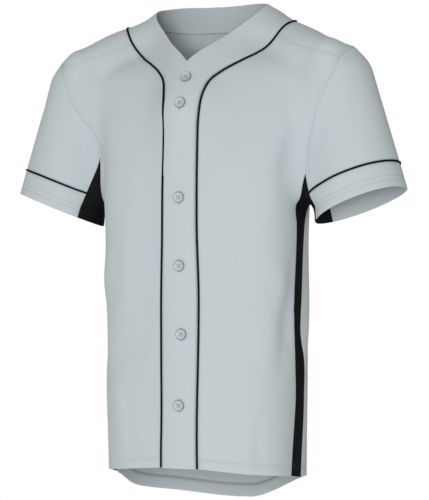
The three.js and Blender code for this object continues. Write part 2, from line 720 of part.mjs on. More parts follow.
function buttonGeometry() {
  const { radius, thickness, rim, dish, holeRadius, holeOffset } = BUTTON;
  const profile = [
    new THREE.Vector2(0, 0),
    new THREE.Vector2(radius - 1.2, 0),
    new THREE.Vector2(radius, 1.2),
    new THREE.Vector2(radius, thickness - 0.8),
    new THREE.Vector2(radius - 0.7, thickness),
    new THREE.Vector2(radius - rim, thickness),
    new THREE.Vector2(radius - rim - 0.9, thickness - dish),
    new THREE.Vector2(0, thickness - dish),
  ];
  const disc = new THREE.LatheGeometry(profile, BUTTON_SIDES).rotateX(Math.PI / 2);
  let button = solid(disc);
  if (button.volume() < 0) throw new Error("the button's profile runs the wrong way");
  for (const [x, y] of [[1, 1], [1, -1], [-1, 1], [-1, -1]]) {
    const hole = new THREE.CylinderGeometry(holeRadius, holeRadius, 3 * thickness, 6).rotateX(Math.PI / 2);
    button = button.subtract(solid(hole.translate(x * holeOffset, y * holeOffset, 0)));
  }
  const mesh = button.getMesh();
  const geometry = new THREE.BufferGeometry();
  geometry.setAttribute("position", new THREE.BufferAttribute(new Float32Array(mesh.vertProperties), 3));
  geometry.setIndex(new THREE.BufferAttribute(new Uint32Array(mesh.triVerts), 1));
  return geometry;
}

// The height over a point of the form at which a button's underside just clears the left band
function buttonSeat(at, normal) {
  const side = new THREE.Vector3(1, 0, 0);
  const up = new THREE.Vector3().crossVectors(normal, side);
  const down = normal.clone().negate();
  const start = 20;
  let highest = -Infinity;
  for (const share of [0, 0.5, 1]) {
    for (let k = 0; k < 12; k += 1) {
      const turn = (Math.PI * k) / 6;
      const p = at.clone().addScaledVector(normal, start);
      p.addScaledVector(side, share * BUTTON.radius * Math.cos(turn));
      p.addScaledVector(up, share * BUTTON.radius * Math.sin(turn));
      const [hit] = new THREE.Raycaster(p, down).intersectObject(jersey.getObjectByName("band_left"));
      highest = Math.max(highest, start - hit.distance);
    }
  }
  return highest + SEAM_GAP;
}

const buttonShape = buttonGeometry();
BUTTONS.forEach(({ x, z }, i) => {
  const at = lay(new THREE.Vector3(x, -110, z));
  const normal = slope(at).setX(0).normalize();
  jersey.updateMatrixWorld(true);
  const mesh = add(`button_${i + 1}`, buttonShape, GREY_RESIN);
  mesh.position.copy(at).addScaledVector(normal, buttonSeat(at, normal));
  mesh.quaternion.setFromUnitVectors(new THREE.Vector3(0, 0, 1), normal);
});

export default jersey;
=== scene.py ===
# The looks of a full-button baseball jersey of light grey and black double knit, hanging filled
# out as on a wearer's shoulders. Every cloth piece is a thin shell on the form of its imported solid.
import math

import bmesh
import bpy
import numpy as np
from mathutils import Matrix, Vector


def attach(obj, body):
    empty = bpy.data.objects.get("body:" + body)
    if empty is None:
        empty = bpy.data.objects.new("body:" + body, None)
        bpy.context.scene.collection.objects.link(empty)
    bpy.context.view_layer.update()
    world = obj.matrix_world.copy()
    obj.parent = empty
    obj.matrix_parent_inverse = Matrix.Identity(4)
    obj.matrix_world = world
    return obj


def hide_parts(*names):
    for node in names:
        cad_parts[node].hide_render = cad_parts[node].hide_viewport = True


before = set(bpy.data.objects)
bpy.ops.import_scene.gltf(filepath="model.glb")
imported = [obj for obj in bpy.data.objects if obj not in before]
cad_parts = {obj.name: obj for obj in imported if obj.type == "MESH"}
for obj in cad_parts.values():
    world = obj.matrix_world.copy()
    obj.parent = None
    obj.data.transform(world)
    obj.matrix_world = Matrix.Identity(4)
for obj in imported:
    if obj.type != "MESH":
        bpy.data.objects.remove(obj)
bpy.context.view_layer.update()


# Fronts: two panels of light grey polyester double knit that reach from the hem over the chest to
# the forward shoulder seam. Each is sewn to the piping at the band and to the black side panel,
# and its hem is turned up inside and stitched down. Lengths are in millimetres up to the mesh.
# trunk sections: height, half width, depth in front, depth behind
TRUNK = [
    (-900, 161, 115, 152), (-735, 162.5, 115, 144), (-600, 166.5, 111, 132), (-450, 168, 108, 121),
    (-330, 170, 111, 124), (-250, 175.6, 107, 130), (-180, 188, 91.5, 129), (-130, 197, 75, 126),
    (-90, 204, 59, 124), (-50, 209, 43, 122),
]
TRUNK_SQUARENESS = 2.8
TRUNK_TOP, TRUNK_TOP_BLEND = -46, 45
BAR_INNER, BAR_OUTER = np.array([122.8, 34.8, -33]), np.array([182.4, -0.4, -52.1])
BAR_RADII = 43.1, 35.5
# neck sections: height, middle, half width, depth
NECK_LOW, NECK_HIGH = (-80, 16.6, 85.2, 103.6), (40, 29.9, 76.2, 56.7)
ARM_TOP, ARM_HEM = np.array([231.9, 4.2, -105.8]), np.array([272, 0.2, -307.1])
ARM_HALF, ARM_DEPTH = (58.4, 79.5), (56, 65.1)
NECK_BLEND, TRUNK_BLEND = 67.2, 20
TRUNK_TOP_SLOPE = 0.8
# how far the shoulder bar, the neck and the arm go on past their ends, in shares of their length
BAR_REACH, NECK_REACH, ARM_REACH = (-0.3, 1.6), (-0.5, 1.3), (0, 1.6)
# how softly the arm runs into the body: height, blend
ARM_BLENDS = [
    (-330, 1), (-315, 12), (-300, 38), (-280, 46), (-250, 46), (-220, 42), (-170, 42), (-120, 38),
    (-60, 22),
]
# large folds, the same on both sides: middle, direction, length, width, height
FOLDS = [
    ((160, -48, -500), (0.1, 0.1, 1), 75, 17, -4.5),
    ((166, 22, -515), (0, 0.2, 1), 95, 17, 5),
    ((152, -62, -420), (-0.5, -0.2, 1), 60, 20, 2.5),
    ((120, -95, -560), (1, 0, -0.5), 70, 22, -2.5),
    ((110, -98, -660), (0.25, 0, 1), 80, 26, 3),
    ((60, -112, -700), (0.1, 0, 1), 50, 20, 2),
    ((172, -62, -235), (0.7, 0, 0.9), 50, 16, -3),
    ((150, -85, -300), (0.4, 0, 1), 70, 22, 2.5),
    ((140, 95, -300), (0.6, 0, 1), 90, 24, 4),
    ((95, 118, -420), (0.3, 0, 1), 110, 26, -4),
    ((55, 128, -480), (0.15, 0, 1), 120, 24, 4),
    ((120, 112, -640), (-0.3, 0, 1), 100, 28, 4),
    ((263, 0, -48), (0, 1, 0), 34, 14, 3),
    ((225, 4, -32), (0.2, 1, 0), 40, 22, -2.5),
    ((252, -60, -235), (0.35, 0, 1), 60, 18, 2),
]
# soft folds and creases, each on one side only: middle, direction, length, width, height
CREASES = [
    # round the left arm: a crease down the armhole, drags to the sleeve and to the breast
    ((201, -51, -182), (0.3, 0.1, 1), 34, 6, -2.2),
    ((190, -43, -232), (0.1, 0, 1), 34, 6, -2.6),
    ((218, -53, -193), (0.35, 0, 1), 34, 12, -2.4),
    ((168, -58, -205), (0.55, 0, 1), 42, 10, -1.8),
    ((262, -50, -190), (0.3, 0, 1), 60, 12, -1.4),
    ((285, -10, -200), (0.3, 0, 1), 50, 12, 2),
    # round the right arm
    ((-190, -51, -186), (-0.55, 0, 1), 30, 7, -2.2),
    ((-203, -50, -210), (-0.25, 0, 1), 34, 12, -2.6),
    ((-165, -62, -190), (-0.6, 0, 1), 40, 11, -1.6),
    ((-250, -45, -220), (-0.3, 0, 1), 50, 10, 1.6),
    ((-275, -20, -180), (-0.35, 0, 1), 50, 9, -1.6),
    ((-170, 12, -14), (1, 0, 0.4), 62, 30, 5.5),
    # down the fronts
    ((-158, -58, -520), (0, 0, 1), 110, 30, 3),
    ((168, -40, -545), (-0.35, 0, 1), 26, 7, -1.6),
    ((160, -60, -560), (1, 0.6, -0.35), 26, 8, -1.5),
    ((95, -105, -390), (-0.15, 0, 1), 100, 16, -1.6),
    ((70, -112, -640), (0.2, 0, 1), 70, 12, -1.4),
    ((128, -92, -690), (-0.1, 0, 1), 55, 11, -2),
    ((33, -116, -728), (0, 0, 1), 13, 6, -1.5),
    ((-110, -100, -420), (0.15, 0, 1), 120, 18, 1.8),
    ((-140, -85, -330), (-0.3, 0, 1), 80, 14, -1.8),
    ((-62, -112, -560), (0.1, 0, 1), 90, 14, 1.3),
    ((-96, -108, -660), (-0.12, 0, 1), 65, 12, -1.5),
    ((-34, -116, -727), (0, 0, 1), 12, 6, -1.5),
    # down the back
    ((152, 72, -450), (0, 0, 1), 150, 10, -3),
    ((128, 84, -480), (0.3, 0, 1), 80, 14, -2.5),
    ((90, 112, -250), (0.5, 0, 1), 70, 14, -2.5),
    ((42, 125, -560), (-0.2, 0, 1), 100, 14, -2.5),
    ((-20, 122, -200), (0.1, 0, 1), 80, 18, 2),
    ((-62, 122, -350), (0.2, 0, 1), 120, 16, 3),
    ((-112, 106, -560), (-0.4, 0, 1), 90, 14, 3),
    ((-78, 122, -700), (0.15, 0, 1), 60, 13, -2.2),
]
CLOTH = 1.5
EDGE_FLAT = 0.04  # half the flat left between the rounded edges of the cloth's two faces
SEAM_SINK = 0.7, 2.6  # how deep a sewn edge sinks, and how far in from the edge that reaches
GROOVE = 0.45, 1.3  # depth and half width of a stitched line
HEM_FOLD = 0.9  # how much thicker the cloth is where a hem doubles it
FINE = 16  # samples for each row between the table points of a seam
BODY_ROWS, CHEST_ROWS, BACK_ROWS, NECK_ROWS = 15, 9, 6, 8
STEP, WIDE_STEP, NARROW_STEP = 4, 4.5, 3.5  # between the points of a cloth piece
GAP = 0.06  # between a piece's edge and its seam line
PIPING_RADIUS = 1.5
PIPING_GAP = PIPING_RADIUS + 0.15
FRONT_SEAM = [
    (31.2, -114, -733), (30.3, -113, -650), (31.2, -110, -550),
    (31.2, -107, -450), (29.2, -110, -350), (29.7, -114, -258),
]
# the collar's outer seam and its free edge, from the breast round to centre back
COLLAR_SEAM = [
    (29.7, -114, -258), (29.7, -112, -207), (30, -108, -162), (33, -101, -130),
    (42, -88, -103), (60, -66, -83), (82, -48, -66), (106, -33, -48),
    (130, -14, -26), (143, 2, -11), (150, 18, 0), (148, 39, 6),
    (131, 64, 8), (99, 85, 7), (52, 98, 4), (0, 103, 3),
]
COLLAR_EDGE = [
    (-27, -114, -258), (-27, -112, -207), (-27, -108, -162), (-25, -101, -128),
    (-18, -95, -98), (-5, -88, -75), (13, -75, -58), (34, -56, -41),
    (56, -39, -22), (74, -20, -4), (89, -1, 13), (98, 20, 29),
    (96, 44, 39), (76, 65, 43), (40, 78, 42), (0, 82, 41),
]
CORNER_ROW = 8
ARMHOLE_FRONT = {
    "left": [
        (192.5, -45, -217), (202, -50.5, -186), (210, -55, -156), (226, -55.5, -122), (240, -53, -94),
        (249.5, -43, -70),
    ],
    "right": [
        (176.5, -51, -203), (186, -51, -181), (200, -52.5, -163), (218, -55, -138), (236, -54.5, -103),
        (249.5, -43, -70),
    ],
}
SHOULDER_DIP = 12  # how far the forward shoulder seam sags in its middle
# height, and where the side panel's front and back seams lie there
SIDE_SEAMS = {
    "left": [
        (-748, -28, 20), (-625, -20, 26), (-560, -23, 8), (-510, -25, -4),
        (-445, -26, 3), (-363, -20, 9), (-312, -22, 17),
    ],
    "right": [
        (-748, -50, -12), (-625, -31, 8), (-560, -27, 5), (-510, -25, -2),
        (-445, -26, 3), (-363, -20, 9), (-312, -22, 17),
    ],
}
SIDE_HEM = -748
# where the front, the side panel and the sleeve meet, and a point of the side seam below that
NOTCH = {"left": (188.5, -41, -256), "right": (176, -45, -221)}
BELOW_NOTCH = {"left": (182, -36, -280), "right": (174, -37, -272)}
HEM = 19  # depth of the turned-up hem
HEM_STITCHES = 14, 17  # the two rows that hold it, from the edge
TOPSTITCHES = 3, 7  # the two rows beside the armhole and the shoulder seam
FRONT_WIDTH = 225  # about, to space its points


def unit(v):
    return v / np.linalg.norm(v, axis=-1, keepdims=True)


def mix(a, b, t):
    return a + (b - a) * t


def smooth(value, start, end):
    t = np.clip((value - start) / (end - start), 0, 1)
    return t * t * (3 - 2 * t)


def look_up(rows, value):
    """The columns of a table, one after another, at values of its first column."""
    rows = np.asarray(rows, float)
    last = len(rows) - 1
    v = np.clip(value, rows[0, 0], rows[-1, 0])
    i = np.clip(np.searchsorted(rows[:, 0], v) - 1, 0, last - 1)
    a, b = rows[i], rows[i + 1]
    before, after = rows[np.maximum(i - 1, 0)], rows[np.minimum(i + 2, last)]
    step = (b - a)[..., :1]
    t = (v[..., None] - a[..., :1]) / step
    rise = b - a
    start = (b - before) / (b - before)[..., :1] * step
    end = (after - a) / (after - a)[..., :1] * step
    found = a + t * start + t**2 * (3 * rise - 2 * start - end) + t**3 * (start + end - 2 * rise)
    return np.moveaxis(found[..., 1:], -1, 0)


def blend(a, b, width):
    t = np.clip(0.5 + 0.5 * (b - a) / width, 0, 1)
    return mix(b, a, t) - width * t * (1 - t)


def ridges(p, table):
    """The summed height of the soft folds of a table at points p."""
    height = np.zeros(p.shape[:-1])
    for middle, direction, length, width, rise in table:
        v = p - np.array(middle)
        along = v @ unit(np.array(direction, float))
        across = (v * v).sum(-1) - along**2
        height += rise * np.exp(-((along / length) ** 2) - across / width**2)
    return height


def eased(t, low, high, soft=0.2):
    """The value kept between two limits, running softly into each."""
    t = np.where(t < low + soft, low + np.clip(t - low + soft, 0, None) ** 2 / (4 * soft), t)
    return np.where(t > high - soft, high - np.clip(high + soft - t, 0, None) ** 2 / (4 * soft), t)


def form(point):
    """Signed distance to the form that the cloth lies on, positive outside it."""
    p = point * [1, 1, 1]
    p[..., 0] = np.abs(p[..., 0])
    x, y, z = p[..., 0], p[..., 1], p[..., 2]
    along = BAR_OUTER - BAR_INNER
    t = np.clip((p - BAR_INNER) @ along / (along @ along), *BAR_REACH)
    bar = np.linalg.norm(p - BAR_INNER - t[..., None] * along, axis=-1) - mix(*BAR_RADII, t)
    t = eased((z - NECK_LOW[0]) / (NECK_HIGH[0] - NECK_LOW[0]), *NECK_REACH)
    middle, half, depth = (mix(a, b, t) for a, b in zip(NECK_LOW[1:], NECK_HIGH[1:]))
    neck = (np.hypot(x / half, (y - middle) / depth) - 1) * np.minimum(half, depth)
    half, front, back = look_up(TRUNK, z)
    depth = np.where(y < 0, front, back)
    n = TRUNK_SQUARENESS
    ratio = ((x / half) ** n + (np.abs(y) / depth) ** n) ** (1 / n)
    side = (ratio - 1) * np.minimum(half, depth)
    trunk = -blend(-side, (TRUNK_TOP - z) * TRUNK_TOP_SLOPE, TRUNK_TOP_BLEND)
    axis = unit(ARM_HEM - ARM_TOP)
    across = unit(np.array([-axis[2], 0, axis[0]]))
    length = np.linalg.norm(ARM_HEM - ARM_TOP)
    t = np.clip((p - ARM_TOP) @ axis / length, *ARM_REACH)
    v = p - ARM_TOP - (t * length)[..., None] * axis
    half, depth = mix(*ARM_HALF, t), mix(*ARM_DEPTH, t)
    parts = v @ across / half, v @ np.cross(axis, across) / depth, 2 * (v @ axis) / (half + depth)
    arm = (np.sqrt(sum(c * c for c in parts)) - 1) * np.minimum(half, depth)
    body = blend(blend(bar, neck, NECK_BLEND), trunk, TRUNK_BLEND)
    return blend(body, arm, look_up(ARM_BLENDS, z)[0]) - ridges(p, FOLDS)


def slope(p):
    steps = np.eye(3) * 0.5
    return np.stack([form(p + s) - form(p - s) for s in steps], -1)


def lay(point):
    """The points moved onto the form."""
    p = np.array(point, float)
    for _ in range(9):
        distance = form(p)
        if np.abs(distance).max() < 0.005:
            break
        g = slope(p)
        p -= g * (distance / np.maximum((g * g).sum(-1), 0.2))[..., None]
    return p


def through(points, s):
    """Points of a smooth line through table rows, at places s counted in rows."""
    p = np.asarray(points, float)
    p = np.vstack([2 * p[0] - p[1], p, 2 * p[-1] - p[-2]])
    i = np.clip(np.floor(s).astype(int), 0, len(p) - 4)
    w = (s - i)[:, None]
    p0, p1, p2, p3 = p[i], p[i + 1], p[i + 2], p[i + 3]
    d0, d1, d2 = (
        np.sqrt(np.linalg.norm(b - a, axis=1, keepdims=True)) for a, b in ((p0, p1), (p1, p2), (p2, p3))
    )
    m1 = ((p1 - p0) / d0 - (p2 - p0) / (d0 + d1) + (p2 - p1) / d1) * d1
    m2 = ((p2 - p1) / d1 - (p3 - p1) / (d1 + d2) + (p3 - p2) / d2) * d1
    return p1 + m1 * w + (3 * (p2 - p1) - 2 * m1 - m2) * w**2 + (2 * (p1 - p2) + m1 + m2) * w**3


def seam(points, rows):
    """A line of evenly spaced samples, FINE for each row, through table points."""
    p = through(points, np.linspace(0, len(points) - 1, 100 * len(points)))
    run = np.concatenate([[0], np.cumsum(np.linalg.norm(np.diff(p, axis=0), axis=1))])
    places = np.linspace(0, run[-1], FINE * rows + 1)
    return lay(np.stack([np.interp(places, run, c) for c in p.T], -1))


def stretch(points, start, end, rows):
    """A line of samples along a stretch of a table, from its row start to its row end."""
    return lay(through(points, np.linspace(start, end, FINE * rows + 1)))


def at(line, rows):
    return np.stack([np.interp(rows, np.arange(len(line)) / FINE, c) for c in line.T], -1)


def row_at(line, lengths):
    """The places along a line, counted in rows, that are these lengths from its start."""
    run = np.concatenate([[0], np.cumsum(np.linalg.norm(np.diff(line, axis=0), axis=1))])
    return np.interp(lengths, run, np.arange(len(line)) / FINE)


def beside(line, distance):
    """The line moved sideways on the form, to the left of its own direction seen from outside."""
    side = unit(np.cross(slope(line), np.gradient(line, axis=0)))
    return lay(line + side * distance)


def length_of(line):
    return np.linalg.norm(np.diff(line, axis=0), axis=1).sum()


def places(length, step, marks=()):
    """Distances from 0 to length, closer together at both ends and at the marks."""
    near = [0, 0.12, 0.35, 0.8, 1.8, 3.4]
    fixed = near + [length - d for d in near] + [m + d for m in marks for d in (-1.5, -0.5, 0.5, 1.5)]
    fixed = np.unique(np.round(fixed, 3))
    found = [fixed[0]]
    for b in fixed[1:]:
        count = max(1, round((b - found[-1]) / step))
        found += list(np.linspace(found[-1], b, count + 1)[1:])
    return np.array(found)


def net(inner, outer, rows, u, drop=None, bow=0.6):
    """Points on the form between two lines. u runs from 0 at the inner to 1 at the outer one."""
    a, b = at(inner, rows), at(outer, rows)
    out = unit(unit(slope(a)) + unit(slope(b)))
    near = np.exp(-((rows[:, None] - rows[None, :]) ** 2) / 2)
    end = smooth(rows, rows[-1] - 2, rows[-1])[:, None]
    out = unit(mix(near @ out / near.sum(1, keepdims=True), out, end))
    rise = np.linalg.norm(b - a, axis=1)[:, None, None] * bow
    u = np.broadcast_to(u, (len(rows), np.shape(u)[-1]))[..., None]
    p = mix(a[:, None], b[:, None], u) + out[:, None] * rise * u * (1 - u)
    if drop is not None:
        p[..., 2] += drop(u[..., 0], rows[:, None])
    return lay(p)


def panel(inner, outer, rows, across, gaps, drop=None):
    """A net whose rows keep these distances from the two lines. across runs from 0 to 1."""
    rough = net(inner, outer, rows, np.linspace(0, 1, 15), drop)
    length = np.linalg.norm(np.diff(rough, axis=1), axis=2).sum(1)[:, None]
    u = (gaps[0] + np.asarray(across)[None] * (length - sum(gaps))) / length
    return net(inner, outer, rows, u, drop)


def distances(p):
    """How far each point of a net is from its four edges, measured along the cloth."""
    across = np.linalg.norm(np.diff(p, axis=1), axis=2).cumsum(1)
    down = np.linalg.norm(np.diff(p, axis=0), axis=2).cumsum(0)
    across = np.concatenate([np.zeros((len(p), 1)), across], 1)
    down = np.concatenate([np.zeros((1, p.shape[1])), down], 0)
    return {"start": across, "end": across[:, -1:] - across, "first": down, "last": down[-1:] - down}


def contour(p, edge, distance):
    """The line on a net of points that keeps a distance from one of its edges."""
    far = distances(p)[edge]
    if edge in ("start", "end"):
        p, far = p.swapaxes(0, 1), far.T
    if edge in ("end", "last"):
        p, far = p[::-1], far[::-1]
    columns = zip(far.T, p.swapaxes(0, 1))
    return np.array([[np.interp(distance, f, c) for c in column.T] for f, column in columns])


def raised(p, level):
    """Points on the form moved out to a level over the creased cloth."""
    return p + unit(slope(p)) * (ridges(p, CREASES) + level)[..., None]


def shell(p, sewn=(), hems=None, stitched=None, lift=0, open_rows=0, thick=CLOTH):
    """Both faces of a cloth piece on a net of points, with rounded edges. Sewn edges sink a
    little towards their seam, hems are doubled inside, and stitched lines are drawn in.
    A stitched line is (edge, distance from it, first row that it reaches down to). The first
    open_rows rows have no edge at their start, because the other half goes on there."""
    seam_depth, seam_reach = SEAM_SINK
    groove_depth, groove_half = GROOVE
    far = distances(p)
    edge = np.minimum(far["first"], far["last"])
    edge = np.minimum(edge, far["end"])
    start = np.where(np.arange(len(p))[:, None] < open_rows, math.inf, far["start"])
    edge = np.minimum(edge, start)
    radius = thick / 2 - EDGE_FLAT
    inset = np.clip(radius - edge, 0, radius)
    rounding = radius - np.sqrt(radius**2 - inset**2)
    sink = np.zeros(edge.shape)
    for name in sewn:
        from_edge = start if name == "start" else far[name]
        sink = np.maximum(sink, seam_depth * np.exp(-((from_edge / seam_reach) ** 2)))
    for name, distance, first_row in stitched or ():
        groove = groove_depth * np.exp(-(((far[name] - distance) / groove_half) ** 2))
        groove[:first_row] = 0
        sink = np.maximum(sink, groove)
    doubled = np.zeros(edge.shape)
    for name, depth in (hems or {}).items():
        doubled = np.maximum(doubled, HEM_FOLD * smooth(depth - far[name], -0.8, 0.8))
    outer = raised(p, lift - rounding - sink)
    inner = raised(p, lift - thick - doubled + rounding)
    rows, columns = p.shape[:2]
    points = np.concatenate([outer.reshape(-1, 3), inner.reshape(-1, 3)])
    uv = np.stack([far["start"], far["first"]], -1).reshape(-1, 2)
    uv = np.concatenate([uv, uv])
    index = np.arange(rows * columns).reshape(rows, columns)
    quads = np.stack([index[:-1, :-1], index[:-1, 1:], index[1:, 1:], index[1:, :-1]], -1).reshape(-1, 4)
    back = quads[:, ::-1] + rows * columns
    loop = [index[0, :], index[:, -1], index[-1, ::-1], index[::-1, 0][: rows - max(open_rows - 1, 0)]]
    rims = []
    for line in loop:
        a, b = line[:-1], line[1:]
        rims.append(np.stack([b, a, a + rows * columns, b + rows * columns], -1))
    middle = outer[rows // 2, columns // 2]
    side = np.cross(
        outer[rows // 2, columns // 2 + 1] - middle, outer[rows // 2 + 1, columns // 2] - middle
    )
    faces = np.concatenate([quads, back, *rims])
    if side @ slope(p[rows // 2, columns // 2]) < 0:
        faces = faces[:, ::-1]
    return points, faces, uv


def side_points(side, p):
    """Points worked out on the left, turned over to the side that they are for."""
    return p if side == "left" else p * [-1, 1, 1]


SAME_POINT = 2e-5  # points of two halves that agree to this, in metres, are one


def mesh(name, parts, material):
    """One object from shells, with points that coincide joined. Its mesh is in metres."""
    points = np.concatenate([part[0] for part in parts]) / 1000
    offsets = np.cumsum([0] + [len(part[0]) for part in parts])
    faces = np.concatenate([part[1] + o for part, o in zip(parts, offsets)])
    uv = np.concatenate([part[2] for part in parts]) / 1000
    keys = np.round(points / SAME_POINT).astype(np.int64)
    _, first, same = np.unique(keys, axis=0, return_index=True, return_inverse=True)
    joined = same.ravel()[faces]
    data = bpy.data.meshes.new(name)
    data.from_pydata(points[first].tolist(), [], joined.tolist())
    data.uv_layers.new(name="cloth").data.foreach_set("uv", uv[faces.ravel()].ravel())
    data.shade_smooth()
    data.materials.append(material)
    obj = bpy.data.objects.new(name, data)
    bpy.context.collection.objects.link(obj)
    return obj


def linear(hex_colour):
    """Scene-linear RGBA of an sRGB hex colour."""
    parts = [int(hex_colour[i : i + 2], 16) / 255 for i in (0, 2, 4)]
    return [c / 12.92 if c < 0.04045 else ((c + 0.055) / 1.055) ** 2.4 for c in parts] + [1]


def add(tree, kind, settings=(), **sockets):
    """A node of a kind, with its own settings and with values or links for its sockets."""
    made = tree.nodes.new(kind)
    for key, value in dict(settings).items():
        setattr(made, key, value)
    for key, value in sockets.items():
        socket = made.inputs[int(key[1:]) if key[1:].isdigit() else key.replace("_", " ")]
        if isinstance(value, bpy.types.NodeSocket):
            tree.links.new(value, socket)
        else:
            socket.default_value = value
    return made


def new_material(name):
    made = bpy.data.materials.new(name)
    made.use_nodes = True
    made.node_tree.nodes.clear()
    return made, made.node_tree


def knit(name, colour, sheen, shade, gloss):
    """Double knit: wales and courses as a fine relief, uneven yarn as faint changes of shade."""
    made, tree = new_material(name)
    place = add(tree, "ShaderNodeUVMap", {"uv_map": "cloth"}).outputs["UV"]
    # wales of a fine double knit are 0.7 mm apart; 1.4 mm is as fine as they show here
    wales = add(
        tree, "ShaderNodeTexWave", {"bands_direction": "X"}, Vector=place, Scale=math.tau / 0.0014 / 20,
        Distortion=0.6, Detail_Scale=200.0,
    )
    courses = add(
        tree, "ShaderNodeTexWave", {"bands_direction": "Y"}, Vector=place, Scale=math.tau / 0.0018 / 20,
        Distortion=0.4, Detail_Scale=160.0,
    )
    relief = add(
        tree, "ShaderNodeMath", {"operation": "MULTIPLY_ADD"},
        i0=courses.outputs["Fac"], i1=0.45, i2=wales.outputs["Fac"],
    )
    stretched = add(tree, "ShaderNodeMapping", i0=place, Scale=(1.0, 2.6, 1.0))
    yarn = add(
        tree, "ShaderNodeTexNoise", Vector=stretched.outputs["Vector"], Scale=260.0, Detail=3.0,
        Roughness=0.6,
    )
    tone = add(tree, "ShaderNodeMapRange", Value=yarn.outputs["Fac"], To_Min=1 - shade, To_Max=1 + shade)
    base = add(
        tree, "ShaderNodeMix", {"data_type": "RGBA", "blend_type": "MULTIPLY"}, i0=1.0,
        i6=linear(colour), i7=tone.outputs["Result"],
    )
    bump = add(
        tree, "ShaderNodeBump", Strength=0.35, Distance=0.0002, Height=relief.outputs["Value"],
    )
    cloth = add(
        tree, "ShaderNodeBsdfPrincipled", Base_Color=base.outputs[2], Roughness=0.88, IOR=1.46,
        Specular_IOR_Level=gloss, Sheen_Weight=sheen, Sheen_Roughness=0.5, Normal=bump.outputs["Normal"],
    )
    add(tree, "ShaderNodeOutputMaterial", Surface=cloth.outputs["BSDF"])
    return made


grey_knit = knit("light grey polyester double knit, brushed matt", "BFC8CB", 0.1, 0.02, 0.22)

front_lower = seam(FRONT_SEAM, BODY_ROWS)
front_upper = stretch(COLLAR_SEAM, 0, CORNER_ROW, CHEST_ROWS)
neck_back = stretch(COLLAR_SEAM, CORNER_ROW, len(COLLAR_SEAM) - 1, NECK_ROWS)
front_seam = np.concatenate([front_lower[:-1], front_upper])


def side_seam(side, column, hem, below, top):
    """A seam of the side panel, from the hem over a point below the armhole to its top."""
    rows = [(176, row[column], row[0]) for row in SIDE_SEAMS[side]]
    rows[0] = (*rows[0][:2], hem)
    line = seam([*rows, below, tuple(top)], BODY_ROWS)
    line[-1] = top
    return line


def shoulder_dip(u, share):
    """How far the last rows of the front and back slide down, so that they end on that seam."""
    return -SHOULDER_DIP * 4 * u * (1 - u) * smooth(share, 0.75, 1)


armhole_front = {side: seam([NOTCH[side], *ARMHOLE_FRONT[side]], CHEST_ROWS) for side in NOTCH}
side_front = {
    side: side_seam(side, 1, SIDE_HEM, BELOW_NOTCH[side], armhole_front[side][0]) for side in NOTCH
}
front_line = {side: np.concatenate([side_front[side][:-1], armhole_front[side]]) for side in NOTCH}
front_rows = row_at(front_seam, places(length_of(front_seam) - GAP, STEP, [HEM]))
front_across = places(FRONT_WIDTH, STEP) / FRONT_WIDTH
front_start = beside(front_seam, -PIPING_GAP)
above_notch = int(np.searchsorted(front_rows, BODY_ROWS + 0.3))
hem_lines = [("first", d, 0) for d in HEM_STITCHES]
fronts, front_nets = {}, {}
for side in NOTCH:
    points = front_nets[side] = panel(
        front_start, front_line[side], front_rows, front_across, (0, GAP),
        lambda u, rows: shoulder_dip(u, rows / (BODY_ROWS + CHEST_ROWS)),
    )
    part = shell(
        side_points(side, points), sewn=("start", "end", "last"), hems={"first": HEM},
        stitched=hem_lines + [("end", d, above_notch) for d in TOPSTITCHES],
    )
    fronts[side] = mesh(f"cloth_front_{side}", [part], grey_knit)
    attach(fronts[side], "root")
    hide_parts(f"front_{side}")


# Back: one panel of the grey knit from the dropped, rounded tail over the shoulder blades to the
# forward shoulder seams. It is cut on the fold, sewn to the piping round the neck, and its curved
# hem is turned up inside, which shows below the front.
ARMHOLE_BACK = [
    (184, 40, -266), (189, 45, -238), (205, 52, -198), (222, 61, -158),
    (237, 59, -115), (251, 41, -68), (262, 2, -51.5), (259.5, -18, -53), (249.5, -43, -70),
]
BELOW_BACK_NOTCH = (179, 31, -288)
# share of the way from centre back to the side seam, and the hem's height there
TAIL = {
    "left": [
        (0, -811), (0.15, -809), (0.3, -797), (0.45, -781), (0.6, -767), (0.75, -759), (0.88, -756),
        (1, -755),
    ],
    "right": [
        (0, -811), (0.15, -810), (0.3, -807), (0.45, -802), (0.6, -795), (0.75, -784), (0.88, -768),
        (1, -755),
    ],
}
TAIL_MIDDLE = TAIL["left"][0][1]
ARMHOLE_LEVEL = -258
BACK_COUNT = BACK_ROWS + NECK_ROWS
NAPE = BODY_ROWS + BACK_ROWS
BACK_WIDTH = 245  # about, for one half, to space its points
BACK_DEPTH = 140  # about, to look for the form from


def centre_back(start, end, rows):
    height = np.linspace(start, end, FINE * rows + 1)
    return lay(np.stack([0 * height, 0 * height + BACK_DEPTH, height], -1))


def back_drop(side):
    """How the rows run: the hem's curve, fading out up to the armhole, and the shoulder's dip."""
    straight = [TAIL_MIDDLE, TAIL[side][-1][1]]

    def drop(u, rows):
        curve = look_up(TAIL[side], u)[0] - mix(*straight, u)
        dip = shoulder_dip(u, rows / (BODY_ROWS + BACK_COUNT))
        return curve * np.maximum(0, 1 - rows / BODY_ROWS) + dip

    return drop


